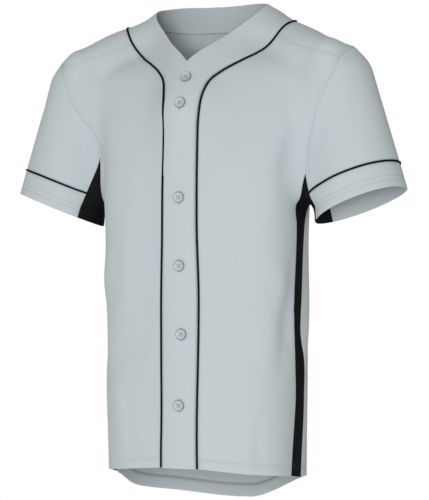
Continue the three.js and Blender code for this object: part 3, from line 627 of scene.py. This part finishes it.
armhole_back = seam(ARMHOLE_BACK, BACK_COUNT)
neck_side = beside(neck_back, -PIPING_GAP)
neck_side[-1, 0] = 0
back_inner = np.concatenate([
    centre_back(TAIL_MIDDLE, ARMHOLE_LEVEL, BODY_ROWS)[:-1],
    centre_back(ARMHOLE_LEVEL, neck_side[-1, 2], BACK_ROWS)[:-1],
    neck_side[::-1],
])
side_back = {
    side: side_seam(side, 2, TAIL[side][-1][1], BELOW_BACK_NOTCH, armhole_back[0]) for side in NOTCH
}
up_to_nape = places(length_of(back_inner[: FINE * NAPE + 1]), WIDE_STEP, [HEM])
round_neck = places(length_of(back_inner[FINE * NAPE :]) - GAP, STEP)
back_rows = np.concatenate([
    row_at(back_inner, up_to_nape), NAPE + row_at(back_inner[FINE * NAPE :], round_neck[1:])
])
back_across = places(BACK_WIDTH, STEP) / BACK_WIDTH
back_above_notch = int(np.searchsorted(back_rows, BODY_ROWS + 0.3))
back_lines = [("end", d, back_above_notch) for d in TOPSTITCHES] + [("last", d, 0) for d in TOPSTITCHES]
back_parts, back_nets = [], {}
for side in NOTCH:
    outer = np.concatenate([side_back[side][:-1], armhole_back])
    points = back_nets[side] = panel(back_inner, outer, back_rows, back_across, (0, GAP), back_drop(side))
    points[: len(up_to_nape), 0, 0] = 0
    part = shell(
        side_points(side, points), sewn=("start", "end", "last"), hems={"first": HEM},
        stitched=hem_lines + back_lines, open_rows=len(up_to_nape),
    )
    back_parts.append(part)
back = mesh("cloth_back", back_parts, grey_knit)
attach(back, "root")
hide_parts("back")


# Side panels: a narrow strip of black knit on each side, from the hem to the underarm, where it
# meets the sleeve's gusset.
UNDERARM = [(183, -30, -288), (181.5, 0, -303), (183, 28, -292)]
STRIP_ROWS = 4
STRIP_WIDTH = 48  # about, to space its points
STRIP_INSET = 0.0015  # a share of the width that stays free at each seam
black_knit = knit("black polyester double knit", "1A1A1B", 0.0, 0.06, 0.04)


def underarm_line(side):
    line = seam([NOTCH[side], *UNDERARM, ARMHOLE_BACK[0]], STRIP_ROWS)
    line[0], line[-1] = armhole_front[side][0], armhole_back[0]
    return line


underarm = {side: underarm_line(side) for side in NOTCH}
side_panels, side_nets = {}, {}
for side in NOTCH:
    length = length_of(side_front[side])
    rows = row_at(side_front[side], places(length - GAP, STEP, [HEM]))[:, None]
    across = mix(STRIP_INSET, 1 - STRIP_INSET, places(STRIP_WIDTH, NARROW_STEP) / STRIP_WIDTH)
    front, rear = (at(line, rows[:, 0])[:, None] for line in (side_front[side], side_back[side]))
    top = at(underarm[side], across * STRIP_ROWS)
    chord = mix(underarm[side][0], underarm[side][-1], across[:, None])
    points = mix(front, rear, across[None, :, None]) + (top - chord)[None] * (rows / BODY_ROWS)[..., None]
    points = side_nets[side] = lay(points)
    part = shell(
        side_points(side, points), sewn=("start", "end", "last"), hems={"first": HEM}, stitched=hem_lines
    )
    side_panels[side] = mesh(f"cloth_side_panel_{side}", [part], black_knit)
    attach(side_panels[side], "root")
    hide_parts(f"side_panel_{side}")


# Sleeves: a short set-in cap of the grey knit, a cuff of the same knit below the piping, and a
# black gusset on the underside. The cuff's hem is turned up and held by two rows of stitches.
SLEEVE_CENTRE = np.array([274, 0, -307.5])
SLEEVE_HALF, SLEEVE_DEPTH = 78, 63
SLEEVE_TILT = math.radians(21)
SHOULDER_ANGLE = 24
GUSSET_FRONT = {"left": 157, "right": 137}
GUSSET_BACK = {"left": 146, "right": 140}
FRONT_RISE = {"left": 10, "right": 8}
BACK_DROP = 3
CUFF_DEPTH = 44
CUFF_STITCHES = 12, 20
CUFF_HEM = 22  # depth of its turned-up hem
GUSSET_WIDTH = 45  # about, to space its points


def sleeve_hem(degrees, side):
    turn = np.radians(degrees)
    out, forward = SLEEVE_HALF * np.cos(turn), SLEEVE_DEPTH * np.sin(turn)
    rise = out * math.sin(SLEEVE_TILT) + np.where(forward > 0, FRONT_RISE[side], BACK_DROP) * np.sin(turn)
    return lay(SLEEVE_CENTRE + np.stack([out * math.cos(SLEEVE_TILT), -forward, rise], -1))


def sleeve_net(top, hem, places_down):
    """Points down the sleeve. places_down gives each column's distances from the armhole."""
    length = np.linalg.norm(hem - top, axis=1)
    t = places_down(length)
    return lay(mix(top[None], hem[None], (t / length)[..., None]))


def sleeve_columns(side):
    """The tops and hem points of fine columns right round the cap, front gusset seam first."""
    line = np.concatenate([armhole_front[side][:-1], armhole_back[::-1]])
    length = length_of(line)
    columns = row_at(line, places(length - 2 * GAP, STEP) + GAP)
    angles = np.interp(
        columns, [0, CHEST_ROWS, CHEST_ROWS + BACK_COUNT],
        [GUSSET_FRONT[side], SHOULDER_ANGLE, -GUSSET_BACK[side]],
    )
    return at(line, columns), sleeve_hem(angles, side)


def spread(start, end, step, marks=()):
    """Distances from a start to each column's end, in even shares of its length."""
    typical = float(np.mean(end - start))
    shares = places(typical, step, marks) / typical
    return start + shares[:, None] * (end - start)[None]


sleeves, cuffs, gussets = {}, {}, {}
cuff_nets, gusset_nets = {}, {}
cuff_lines = [("last", d, 0) for d in CUFF_STITCHES]
for side in NOTCH:
    top, hem = sleeve_columns(side)
    cap = sleeve_net(top, hem, lambda length: spread(GAP, length - CUFF_DEPTH - PIPING_GAP, STEP))
    part = shell(side_points(side, cap), sewn=("first", "last", "start", "end"))
    sleeves[side] = mesh(f"cloth_sleeve_{side}", [part], grey_knit)
    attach(sleeves[side], "root")
    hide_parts(f"sleeve_{side}")
    below = CUFF_DEPTH - PIPING_GAP
    marks = [below - d for d in CUFF_STITCHES]
    cuff = sleeve_net(top, hem, lambda length: spread(length - below, length, STEP, marks))
    cuff_nets[side] = cuff
    part = shell(
        side_points(side, cuff), sewn=("first", "start", "end"), hems={"last": CUFF_HEM},
        stitched=cuff_lines,
    )
    cuffs[side] = mesh(f"cloth_cuff_{side}", [part], grey_knit)
    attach(cuffs[side], "root")
    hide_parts(f"cuff_{side}")
    share = mix(STRIP_INSET, 1 - STRIP_INSET, places(GUSSET_WIDTH, NARROW_STEP) / GUSSET_WIDTH)
    top = at(underarm[side], share * STRIP_ROWS)
    hem = sleeve_hem(mix(GUSSET_FRONT[side], 360 - GUSSET_BACK[side], share), side)
    gusset = gusset_nets[side] = sleeve_net(top, hem, lambda length: spread(GAP, length, STEP))
    part = shell(
        side_points(side, gusset), sewn=("first", "start", "end"), hems={"last": CUFF_HEM},
        stitched=cuff_lines,
    )
    gussets[side] = mesh(f"cloth_gusset_{side}", [part], black_knit)
    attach(gussets[side], "root")
    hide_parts(f"sleeve_gusset_{side}")


# Bands: a doubled strip of the grey knit up each side of the opening and round the neck to centre
# back. The wearer's left one lies over the right one and carries the buttons.
LAP_EDGE = -25.5  # the free edge's distance from centre front
LAP_LIFT = 2.3  # how much higher the left band lies
LAP_STEP = 0.2, 3.2  # distances from the piping over which it rises to that
LAP_FADE = -66, -18  # heights between which the lift fades out
BAND_WIDTH = 56
BAND_END = 0.03  # from the end of each band to centre back


def band_level(p, side):
    """How far the band lies over the form: the left one steps up over the right one."""
    if side == "right":
        return 0
    step = smooth(distances(p)["start"], *LAP_STEP)
    return LAP_LIFT * step * (1 - smooth(p[..., 2], *LAP_FADE))


neck_edge = stretch(COLLAR_EDGE, CORNER_ROW, len(COLLAR_EDGE) - 1, NECK_ROWS)
band_seam = np.concatenate([front_seam[:-1], neck_back])
band_edge = np.concatenate([
    lay(front_lower[:-1] * [0, 1, 1] + [LAP_EDGE, 0, 0]),
    stretch(COLLAR_EDGE, 0, CORNER_ROW, CHEST_ROWS)[:-1],
    neck_edge,
])
band_start = beside(band_seam, PIPING_GAP)
band_rows = row_at(band_seam, places(length_of(band_seam) - BAND_END, STEP))
bands = {}
for side in NOTCH:
    points = net(band_start, band_edge, band_rows, places(BAND_WIDTH, STEP) / BAND_WIDTH, bow=0)
    part = shell(side_points(side, points), sewn=("start", "last"), lift=band_level(points, side))
    bands[side] = mesh(f"cloth_band_{side}", [part], grey_knit)
    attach(bands[side], "root")
    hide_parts(f"band_{side}")


# Neck tape: a narrow strip of the grey knit that covers the neck seam inside, from one shoulder
# seam round the nape to the other.
TAPE_WIDTH, TAPE_THICKNESS = 8, 0.6
TAPE_LEVEL = -1.62  # its upper face, just inside the inner faces of the back and the bands
TAPE_START = 6  # samples of the neck seam from the shoulder seam to the tape's end
TAPE_STEP = 1.4  # between its points, across it

tape_half = neck_back[TAPE_START:]
tape_line = np.concatenate([tape_half, (tape_half[:-1] * [-1, 1, 1])[::-1]])
tape_rows = row_at(tape_line, places(length_of(tape_line), STEP))
tape_edges = [at(beside(tape_line, side * TAPE_WIDTH / 2), tape_rows)[:, None] for side in (-1, 1)]
tape_across = places(TAPE_WIDTH, TAPE_STEP) / TAPE_WIDTH
tape_net = lay(mix(*tape_edges, tape_across[None, :, None]))
tape_shell = shell(tape_net, lift=TAPE_LEVEL, thick=TAPE_THICKNESS)
neck_tape = mesh("cloth_neck_tape", [tape_shell], grey_knit)
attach(neck_tape, "root")


# Piping: a thin round cord of black knit in the seam between the bands and the panels, from hem
# to centre back on each side, and another round each sleeve above the cuff.
PIPING_SIDES = 12
CORD_RADIUS = 1.65
CORD_LEVEL = 0.35  # the middle of the cord over the form
CORD_RISE = [(-250, 0), (-200, 0.8), (-120, 0.9), (-80, 0)]  # height, further rise
CORD_ENDS = 0.5, 0.3  # how far each end stays short of the hem and of centre back
CORD_SAMPLES = 420


def tube(name, centre, radius, sides, material):
    """A round cord along a line, closed with a flat end at both ends."""
    line = centre / 1000
    along = unit(np.gradient(line, axis=0))
    up = slope(centre)
    up = unit(up - along * (up * along).sum(-1, keepdims=True))
    side = np.cross(along, up)
    angle = np.linspace(0, math.tau, sides, endpoint=False)[None, :, None]
    rings = line[:, None] + (side[:, None] * np.sin(angle) + up[:, None] * np.cos(angle)) * radius / 1000
    points = rings.reshape(-1, 3)
    ring, turn = np.meshgrid(np.arange(len(line) - 1), np.arange(sides), indexing="ij")
    a, b = ring * sides + turn, ring * sides + (turn + 1) % sides
    faces = np.stack([a, b, b + sides, a + sides], -1).reshape(-1, 4).tolist()
    last = (len(line) - 1) * sides
    faces += [list(range(sides))[::-1], list(range(last, last + sides))]
    data = bpy.data.meshes.new(name)
    data.from_pydata(points.tolist(), [], faces)
    run = np.concatenate([[0], np.linalg.norm(np.diff(line, axis=0), axis=1).cumsum()])
    uv = np.stack([np.tile(angle.ravel() * radius / 1000, len(line)), np.repeat(run, sides)], -1)
    corners = np.concatenate([np.array(face) for face in faces])
    data.uv_layers.new(name="cloth").data.foreach_set("uv", uv[corners].ravel())
    data.shade_smooth()
    data.materials.append(material)
    obj = bpy.data.objects.new(name, data)
    bpy.context.collection.objects.link(obj)
    return obj


cord_stops = np.linspace(CORD_ENDS[0], length_of(band_seam) - CORD_ENDS[1], CORD_SAMPLES)
piping_rows = row_at(band_seam, cord_stops)
for side in NOTCH:
    line = side_points(side, lay(at(band_seam, piping_rows)))
    # below the neck the cord on the wearer's right is pushed up by the edge that laps beside it
    level = CORD_LEVEL + (np.interp(line[:, 2], *zip(*CORD_RISE)) if side == "right" else 0)
    cord = tube(f"cord_piping_{side}", raised(line, level), CORD_RADIUS, PIPING_SIDES, black_knit)
    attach(cord, "root")
    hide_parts(f"piping_{side}")
    top, hem = sleeve_columns(side)
    line = sleeve_net(top, hem, lambda length: length[None] - CUFF_DEPTH)[0]
    line = side_points(side, line)
    cord = tube(f"cord_sleeve_{side}", raised(line, CORD_LEVEL), CORD_RADIUS, PIPING_SIDES, black_knit)
    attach(cord, "root")
    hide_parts(f"sleeve_piping_{side}")


# Buttons: six pressed resin buttons with four holes and a raised rim, sewn to the left band with
# two bars of thread and lying over their stitched buttonholes.
# how far each button is from centre front, and its height
BUTTONS = [(5, -92), (1.5, -143), (1.5, -295), (2, -405), (5, -516), (2, -631)]
# outline of the turned button: distance from the middle, height
BUTTON_OUTLINE = [
    (0, 0), (8, 0), (8.8, 0.4), (9.2, 1.2), (9.2, 1.9), (8.9, 2.4), (8.4, 2.9), (7.9, 3.15),
    (7.4, 3.1), (6.9, 2.75), (6.4, 2.45), (5, 2.35), (0, 2.35),
]
BUTTON_EDGE = 8.1  # outside this radius the rim takes darker resin, a painted shadow round the button's edge
BUTTON_SIDES = 48
HOLE_RADIUS, HOLE_OFFSET, HOLE_DEPTH = 1.1, 1.9, 9
BUTTON_SEAT = LAP_LIFT + 0.35
FRONT_DEPTH = -110  # about, to look for the form from
# outline of one strand of thread between two holes: distance from its middle, place along it
STRAND_OUTLINE = [(0, -2.4), (0.21, -2.25), (0.3, -1.9), (0.3, 1.9), (0.21, 2.25), (0, 2.4)]
STRAND_LEVEL = 2.54  # its middle over the button's underside
STRAND_SHIFT = 0.3  # how far each of a bar's two strands lies off the bar's middle


def resin(name, colour):
    """Polyester resin pressed in a mould: smooth, slightly glossy, faintly clouded."""
    made, tree = new_material(name)
    place = add(tree, "ShaderNodeTexCoord").outputs["Object"]
    cloud = add(tree, "ShaderNodeTexNoise", Vector=place, Scale=120.0, Detail=2.0)
    tone = add(tree, "ShaderNodeMapRange", Value=cloud.outputs["Fac"], To_Min=0.96, To_Max=1.04)
    base = add(
        tree, "ShaderNodeMix", {"data_type": "RGBA", "blend_type": "MULTIPLY"}, i0=1.0,
        i6=linear(colour), i7=tone.outputs["Result"],
    )
    disc = add(
        tree, "ShaderNodeBsdfPrincipled", Base_Color=base.outputs[2], Roughness=0.38, IOR=1.55,
        Subsurface_Weight=0.08, Subsurface_Scale=0.001,
    )
    add(tree, "ShaderNodeOutputMaterial", Surface=disc.outputs["BSDF"])
    return made


def spun(name, colour):
    """Spun polyester sewing thread: matt, with a faint twist along it."""
    made, tree = new_material(name)
    place = add(tree, "ShaderNodeTexCoord").outputs["Object"]
    twist = add(tree, "ShaderNodeTexNoise", Vector=place, Scale=2200.0, Detail=1.0)
    bump = add(tree, "ShaderNodeBump", Strength=0.3, Distance=0.0001, Height=twist.outputs["Fac"])
    strand = add(
        tree, "ShaderNodeBsdfPrincipled", Base_Color=linear(colour), Roughness=0.7, IOR=1.5,
        Sheen_Weight=0.1, Normal=bump.outputs["Normal"],
    )
    add(tree, "ShaderNodeOutputMaterial", Surface=strand.outputs["BSDF"])
    return made


grey_resin = resin("grey polyester resin, moulded", "B9C2C5")
# the darker resin is painted shade: it stands for the shadow in the gap round each button's rim
rim_shade_resin = resin("grey polyester resin, rim darkened as painted shade", "7D8588")
grey_thread = spun("grey spun polyester thread", "9DA6A9")
dark_thread = spun("black spun polyester thread", "2A2A2A")


def turned(name, outline, sides):
    """A solid turned from its outline about +Z."""
    radii, heights = np.array(outline, float).T / 1000
    angle = np.linspace(0, math.tau, sides, endpoint=False)[:, None]
    round_radii, round_heights = radii[1:-1], heights[1:-1] + 0 * angle
    rings = np.stack([round_radii * np.cos(angle), round_radii * np.sin(angle), round_heights], -1)
    points = np.concatenate([rings.reshape(-1, 3), [[0, 0, heights[0]], [0, 0, heights[-1]]]])
    steps = len(outline) - 2
    low, high = len(points) - 2, len(points) - 1
    faces = []
    for k in range(sides):
        a, b = k * steps, (k + 1) % sides * steps
        faces += [[a + i, b + i, b + i + 1, a + i + 1] for i in range(steps - 1)]
        faces += [[low, b, a], [high, a + steps - 1, b + steps - 1]]
    data = bpy.data.meshes.new(name)
    data.from_pydata(points.tolist(), [], faces)
    return data


def bored(data, centres, radius, depth):
    """The mesh with round holes cut through it along Z."""
    obj = bpy.data.objects.new("blank", data)
    bpy.context.collection.objects.link(obj)
    cutters = []
    for x, y in centres:
        pin = turned("pin", [(0, -depth), (radius, -depth), (radius, depth), (0, depth)], 20)
        pin.transform(Matrix.Translation((x / 1000, y / 1000, 0)))
        cutter = bpy.data.objects.new("pin", pin)
        bpy.context.collection.objects.link(cutter)
        cut = obj.modifiers.new("hole", "BOOLEAN")
        cut.operation, cut.solver, cut.object = "DIFFERENCE", "EXACT", cutter
        cutters.append(cutter)
    found = bpy.data.meshes.new_from_object(obj.evaluated_get(bpy.context.evaluated_depsgraph_get()))
    for spare in [obj, *cutters]:
        bpy.data.objects.remove(spare)
    return found


holes = [(HOLE_OFFSET * x, HOLE_OFFSET * y) for x in (-1, 1) for y in (-1, 1)]
button_shape = bored(turned("button", BUTTON_OUTLINE, BUTTON_SIDES), holes, HOLE_RADIUS, HOLE_DEPTH)
button_shape.materials.clear()
button_shape.materials.append(grey_resin)
button_shape.materials.append(rim_shade_resin)
# the rim's faces take the darker resin, painted shade for the shadow round the button's edge
for face in button_shape.polygons:
    if face.center.to_2d().length * 1000 > BUTTON_EDGE:
        face.material_index = 1
strand = turned("strand", STRAND_OUTLINE, 8)
strand.transform(Matrix.Rotation(math.pi / 2, 4, "X"))
bars = bmesh.new()
for middle in (-HOLE_OFFSET, HOLE_OFFSET):
    for shift in (-STRAND_SHIFT, STRAND_SHIFT):
        lying = strand.copy()
        lying.transform(Matrix.Translation(((middle + shift) / 1000, 0, STRAND_LEVEL / 1000)))
        bars.from_mesh(lying)
thread_shape = bpy.data.meshes.new("button thread")
bars.to_mesh(thread_shape)
bars.free()
thread_shape.materials.append(grey_thread)


def placed(name, shape, matrix):
    """An object of its own from a copy of a shape, with the place worked into its points."""
    data = shape.copy()
    data.transform(matrix)
    data.shade_smooth()
    made = bpy.data.objects.new(name, data)
    bpy.context.collection.objects.link(made)
    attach(made, "root")
    return made


for i, (x, level) in enumerate(BUTTONS, 1):
    spot = lay(np.array([[x, FRONT_DEPTH, level]], float))
    facing = slope(spot)[0]
    facing[0] = 0
    seat = raised(spot, BUTTON_SEAT)[0] / 1000
    turn_to = Vector((0, 0, 1)).rotation_difference(Vector(facing)).to_matrix().to_4x4()
    piece = placed(f"resin_button_{i}", button_shape, Matrix.Translation(seat) @ turn_to)
    placed(f"thread_button_{i}", thread_shape, Matrix.Translation(seat) @ turn_to)
    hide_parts(f"button_{i}")


# Stitching: lockstitch rows of grey thread on the hems, cuffs, armholes and shoulder seams, of black
# thread on the black knit and along the neck tape inside, overlock inside over the hems' raw edges,
# and satin stitch round the buttonholes. One node group sets a rounded stitch at each step of a line.
def stitch_group():
    tree = bpy.data.node_groups.new("stitches along a line", "GeometryNodeTree")
    face = tree.interface
    face.new_socket("Lines", in_out="INPUT", socket_type="NodeSocketGeometry")
    for label in ("Step", "Length", "Width", "Height"):
        face.new_socket(label, in_out="INPUT", socket_type="NodeSocketFloat")
    face.new_socket("Uneven Turn", in_out="INPUT", socket_type="NodeSocketFloat")
    face.new_socket("Seed", in_out="INPUT", socket_type="NodeSocketInt")
    face.new_socket("Thread", in_out="INPUT", socket_type="NodeSocketMaterial")
    face.new_socket("Stitches", in_out="OUTPUT", socket_type="NodeSocketGeometry")
    given = tree.nodes.new("NodeGroupInput").outputs
    curve = add(tree, "GeometryNodeMeshToCurve", Mesh=given["Lines"])
    points = add(
        tree, "GeometryNodeResampleCurve", {"mode": "LENGTH"}, Curve=curve.outputs["Curve"],
        Length=given["Step"],
    )
    up = add(tree, "GeometryNodeInputNamedAttribute", {"data_type": "FLOAT_VECTOR"}, Name="up")
    along = add(tree, "GeometryNodeInputTangent")
    facing = add(
        tree, "FunctionNodeAxesToRotation", {"primary_axis": "Z", "secondary_axis": "X"},
        i0=up.outputs["Attribute"], i1=along.outputs["Tangent"],
    )
    least = add(tree, "ShaderNodeMath", {"operation": "MULTIPLY"}, i0=given["Uneven Turn"], i1=-1.0)
    skew = add(
        tree, "FunctionNodeRandomValue", {"data_type": "FLOAT"}, i2=least.outputs["Value"],
        i3=given["Uneven Turn"], Seed=given["Seed"],
    )
    skewed = add(tree, "ShaderNodeCombineXYZ", Z=skew.outputs[1])
    turned_to = add(
        tree, "FunctionNodeRotateRotation", {"rotation_space": "LOCAL"}, i0=facing.outputs["Rotation"],
        i1=skewed.outputs["Vector"],
    )
    stitch = add(tree, "GeometryNodeMeshUVSphere", Segments=6, Rings=4, Radius=0.5)
    size = add(tree, "ShaderNodeCombineXYZ", X=given["Length"], Y=given["Width"], Z=given["Height"])
    row = add(
        tree, "GeometryNodeInstanceOnPoints", Points=points.outputs["Curve"],
        Instance=stitch.outputs["Mesh"], Rotation=turned_to.outputs["Rotation"],
        Scale=size.outputs["Vector"],
    )
    real = add(tree, "GeometryNodeRealizeInstances", i0=row.outputs["Instances"])
    sewn = add(tree, "GeometryNodeSetMaterial", Geometry=real.outputs["Geometry"], Material=given["Thread"])
    add(tree, "NodeGroupOutput", Stitches=sewn.outputs["Geometry"])
    return tree


stitches = stitch_group()


def stitched(name, lines, values):
    """One object with stitches along lines given as pairs of points and level over the cloth."""
    points = np.concatenate([raised(line, level) for line, level in lines]) / 1000
    ups = unit(slope(np.concatenate([line for line, _ in lines])))
    ends = np.cumsum([len(line) for line, _ in lines])
    edges = [(i, i + 1) for i in range(len(points) - 1) if i + 1 not in ends]
    data = bpy.data.meshes.new(name)
    data.from_pydata(points.tolist(), edges, [])
    data.attributes.new("up", "FLOAT_VECTOR", "POINT").data.foreach_set("vector", ups.ravel())
    obj = bpy.data.objects.new(name, data)
    bpy.context.collection.objects.link(obj)
    maker = obj.modifiers.new("stitches", "NODES")
    maker.node_group = stitches
    for socket in stitches.interface.items_tree:
        if socket.in_out == "INPUT" and socket.name in values:
            maker[socket.identifier] = values[socket.name]
    made = bpy.data.meshes.new_from_object(obj.evaluated_get(bpy.context.evaluated_depsgraph_get()))
    obj.modifiers.clear()
    obj.data = made
    bpy.data.meshes.remove(data)
    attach(obj, "root")


LOCKSTITCH = {"Step": 0.0031, "Length": 0.0026, "Width": 0.0006, "Height": 0.0005, "Uneven Turn": 0.05}
TAPE_STITCH = {"Step": 0.0062, "Length": 0.0044, "Width": 0.0012, "Height": 0.0006, "Uneven Turn": 0.16}
OVERLOCK = {"Step": 0.0013, "Length": 0.0011, "Width": 0.0055, "Height": 0.0004, "Uneven Turn": 0.12}
SATIN = {"Step": 0.00075, "Length": 0.0006, "Width": 0.002, "Height": 0.0004, "Uneven Turn": 0.08}
ON_GROOVE = -0.3  # the middle of a stitch in the groove of a hem
ON_TOPSTITCH = -0.4  # and beside an armhole or shoulder seam, which sinks too
OVERLOCK_DISTANCE = HEM + 3  # from the hem to the middle of the overlock
OVERLOCK_LEVEL = -CLOTH - 0.15
TAPE_STITCH_DISTANCE = 1.3  # from the tape's upper edge

hem_rows, dark_rows, armhole_rows, cuff_rows, overlock_rows = [], [], [], [], []
for side in NOTCH:
    for points in (front_nets[side], back_nets[side]):
        overlock_row = contour(points, "first", OVERLOCK_DISTANCE)
        overlock_rows.append((side_points(side, overlock_row), OVERLOCK_LEVEL))
    for distance in HEM_STITCHES:
        for points in (front_nets[side], back_nets[side]):
            hem_rows.append((side_points(side, contour(points, "first", distance)), ON_GROOVE))
        dark_rows.append((side_points(side, contour(side_nets[side], "first", distance)), ON_GROOVE))
    for distance in CUFF_STITCHES:
        cuff_rows.append((side_points(side, contour(cuff_nets[side], "last", distance)), ON_GROOVE))
        dark_rows.append((side_points(side, contour(gusset_nets[side], "last", distance)), ON_GROOVE))
    for distance in TOPSTITCHES:
        front_row = contour(front_nets[side], "end", distance)[above_notch:-1]
        back_row = contour(back_nets[side], "end", distance)[back_above_notch:-1]
        shoulder = contour(back_nets[side], "last", distance)[2:-2]
        for line in (front_row, back_row, shoulder):
            armhole_rows.append((side_points(side, line), ON_TOPSTITCH))
tape_stitch_rows = [(contour(tape_net, "start", TAPE_STITCH_DISTANCE), TAPE_LEVEL - TAPE_THICKNESS)]
stitched("thread_overlock", overlock_rows, {**OVERLOCK, "Seed": 7, "Thread": grey_thread})
stitched("thread_hems", hem_rows, {**LOCKSTITCH, "Seed": 1, "Thread": grey_thread})
stitched("thread_cuffs", cuff_rows, {**LOCKSTITCH, "Seed": 2, "Thread": grey_thread})
stitched("thread_armholes", armhole_rows, {**LOCKSTITCH, "Seed": 3, "Thread": grey_thread})
stitched("thread_black_knit", dark_rows, {**LOCKSTITCH, "Seed": 4, "Thread": dark_thread})
stitched("thread_neck_tape", tape_stitch_rows, {**TAPE_STITCH, "Seed": 5, "Thread": dark_thread})

# buttonholes lie under the buttons: the top one runs across the band, the others up it
HOLE_HALF, HOLE_SPREAD = 10, 1.1  # half its length, and half the width of the ring of stitches
HOLE_SHIFT = 0.8  # of the top one, towards the wearer's left
HOLE_LEVEL = LAP_LIFT + 0.1
angles = np.linspace(0, math.tau, 49)
ring = np.stack([HOLE_SPREAD * np.sin(angles), 0 * angles, HOLE_SPREAD * np.cos(angles)], -1)
ring[:, 2] += np.sign(np.cos(angles)) * (HOLE_HALF - HOLE_SPREAD)
buttonholes = []
for i, (x, level) in enumerate(BUTTONS):
    around = ring[:, [2, 1, 0]] + [HOLE_SHIFT, 0, 0] if i == 0 else ring
    buttonholes.append((lay(around + [x, FRONT_DEPTH, level]), HOLE_LEVEL))
stitched("thread_buttonholes", buttonholes, {**SATIN, "Seed": 6, "Thread": grey_thread})


# View: the photograph is taken from the wearer's left at the height of the waist with a long lens,
# against white, in soft light from beside the camera. Weak lamps lighten the shadows all round.
CAMERA_TURN, CAMERA_DISTANCE, CAMERA_HEIGHT = math.radians(22), 2.855, -0.412
FLOOR_LEVEL = -1.35
SURROUNDINGS = 0.42, 1.0  # their strength as light, and as the camera sees them

camera = bpy.data.objects.new("camera", bpy.data.cameras.new("camera"))
bpy.context.collection.objects.link(camera)
camera.location = (
    CAMERA_DISTANCE * math.sin(CAMERA_TURN), -CAMERA_DISTANCE * math.cos(CAMERA_TURN), CAMERA_HEIGHT
)
camera.rotation_euler = (math.pi / 2, 0, CAMERA_TURN)
camera.data.lens = 122.3
camera.data.shift_x = 0.0166
camera.data.shift_y = 0.04
bpy.context.scene.camera = camera


def lamp(name, place, towards, width, watts):
    made = bpy.data.lights.new(name, "AREA")
    made.shape = "DISK"
    made.size = width
    made.energy = watts
    obj = bpy.data.objects.new(name, made)
    obj.location = place
    obj.rotation_euler = (Vector(towards) - Vector(place)).to_track_quat("-Z", "Y").to_euler()
    bpy.context.collection.objects.link(obj)


lamp("key", (0.75, -2.95, -0.35), (0, 0, -0.45), 1.1, 39)
lamp("high front", (-0.5, -3.0, 0.5), (0, 0, -0.1), 0.9, 10)
lamp("back", (-0.9, 2.9, 0.1), (0, 0, -0.4), 1.4, 30)
lamp("left fill", (2.8, -1.2, -0.9), (0, 0, -0.6), 1.6, 5)
lamp("right fill", (-2.8, -1.2, -0.6), (0, 0, -0.5), 1.6, 4)
paper, tree = new_material("pale seamless paper")
matt = add(tree, "ShaderNodeBsdfPrincipled", Base_Color=linear("EDEDED"), Roughness=0.9)
add(tree, "ShaderNodeOutputMaterial", Surface=matt.outputs["BSDF"])
floor = bpy.data.objects.new("floor", turned("floor", [(0, -20), (2000, -20), (2000, 0), (0, 0)], 64))
floor.data.transform(Matrix.Translation((0, 0, FLOOR_LEVEL)))
floor.data.materials.append(paper)
bpy.context.collection.objects.link(floor)
# the surroundings are white to the camera and dimmer as light, so that the cloth keeps its grey
world = bpy.data.worlds.new("white surroundings")
world.use_nodes = True
world.node_tree.nodes.clear()
seen = add(world.node_tree, "ShaderNodeLightPath").outputs["Is Camera Ray"]
strength = add(
    world.node_tree, "ShaderNodeMapRange", Value=seen, To_Min=SURROUNDINGS[0], To_Max=SURROUNDINGS[1]
)
glow = add(world.node_tree, "ShaderNodeBackground", Strength=strength.outputs["Result"], Color=(1, 1, 1, 1))
add(world.node_tree, "ShaderNodeOutputWorld", Surface=glow.outputs["Background"])
bpy.context.scene.world = world
bpy.context.scene.view_settings.view_transform = "Standard"
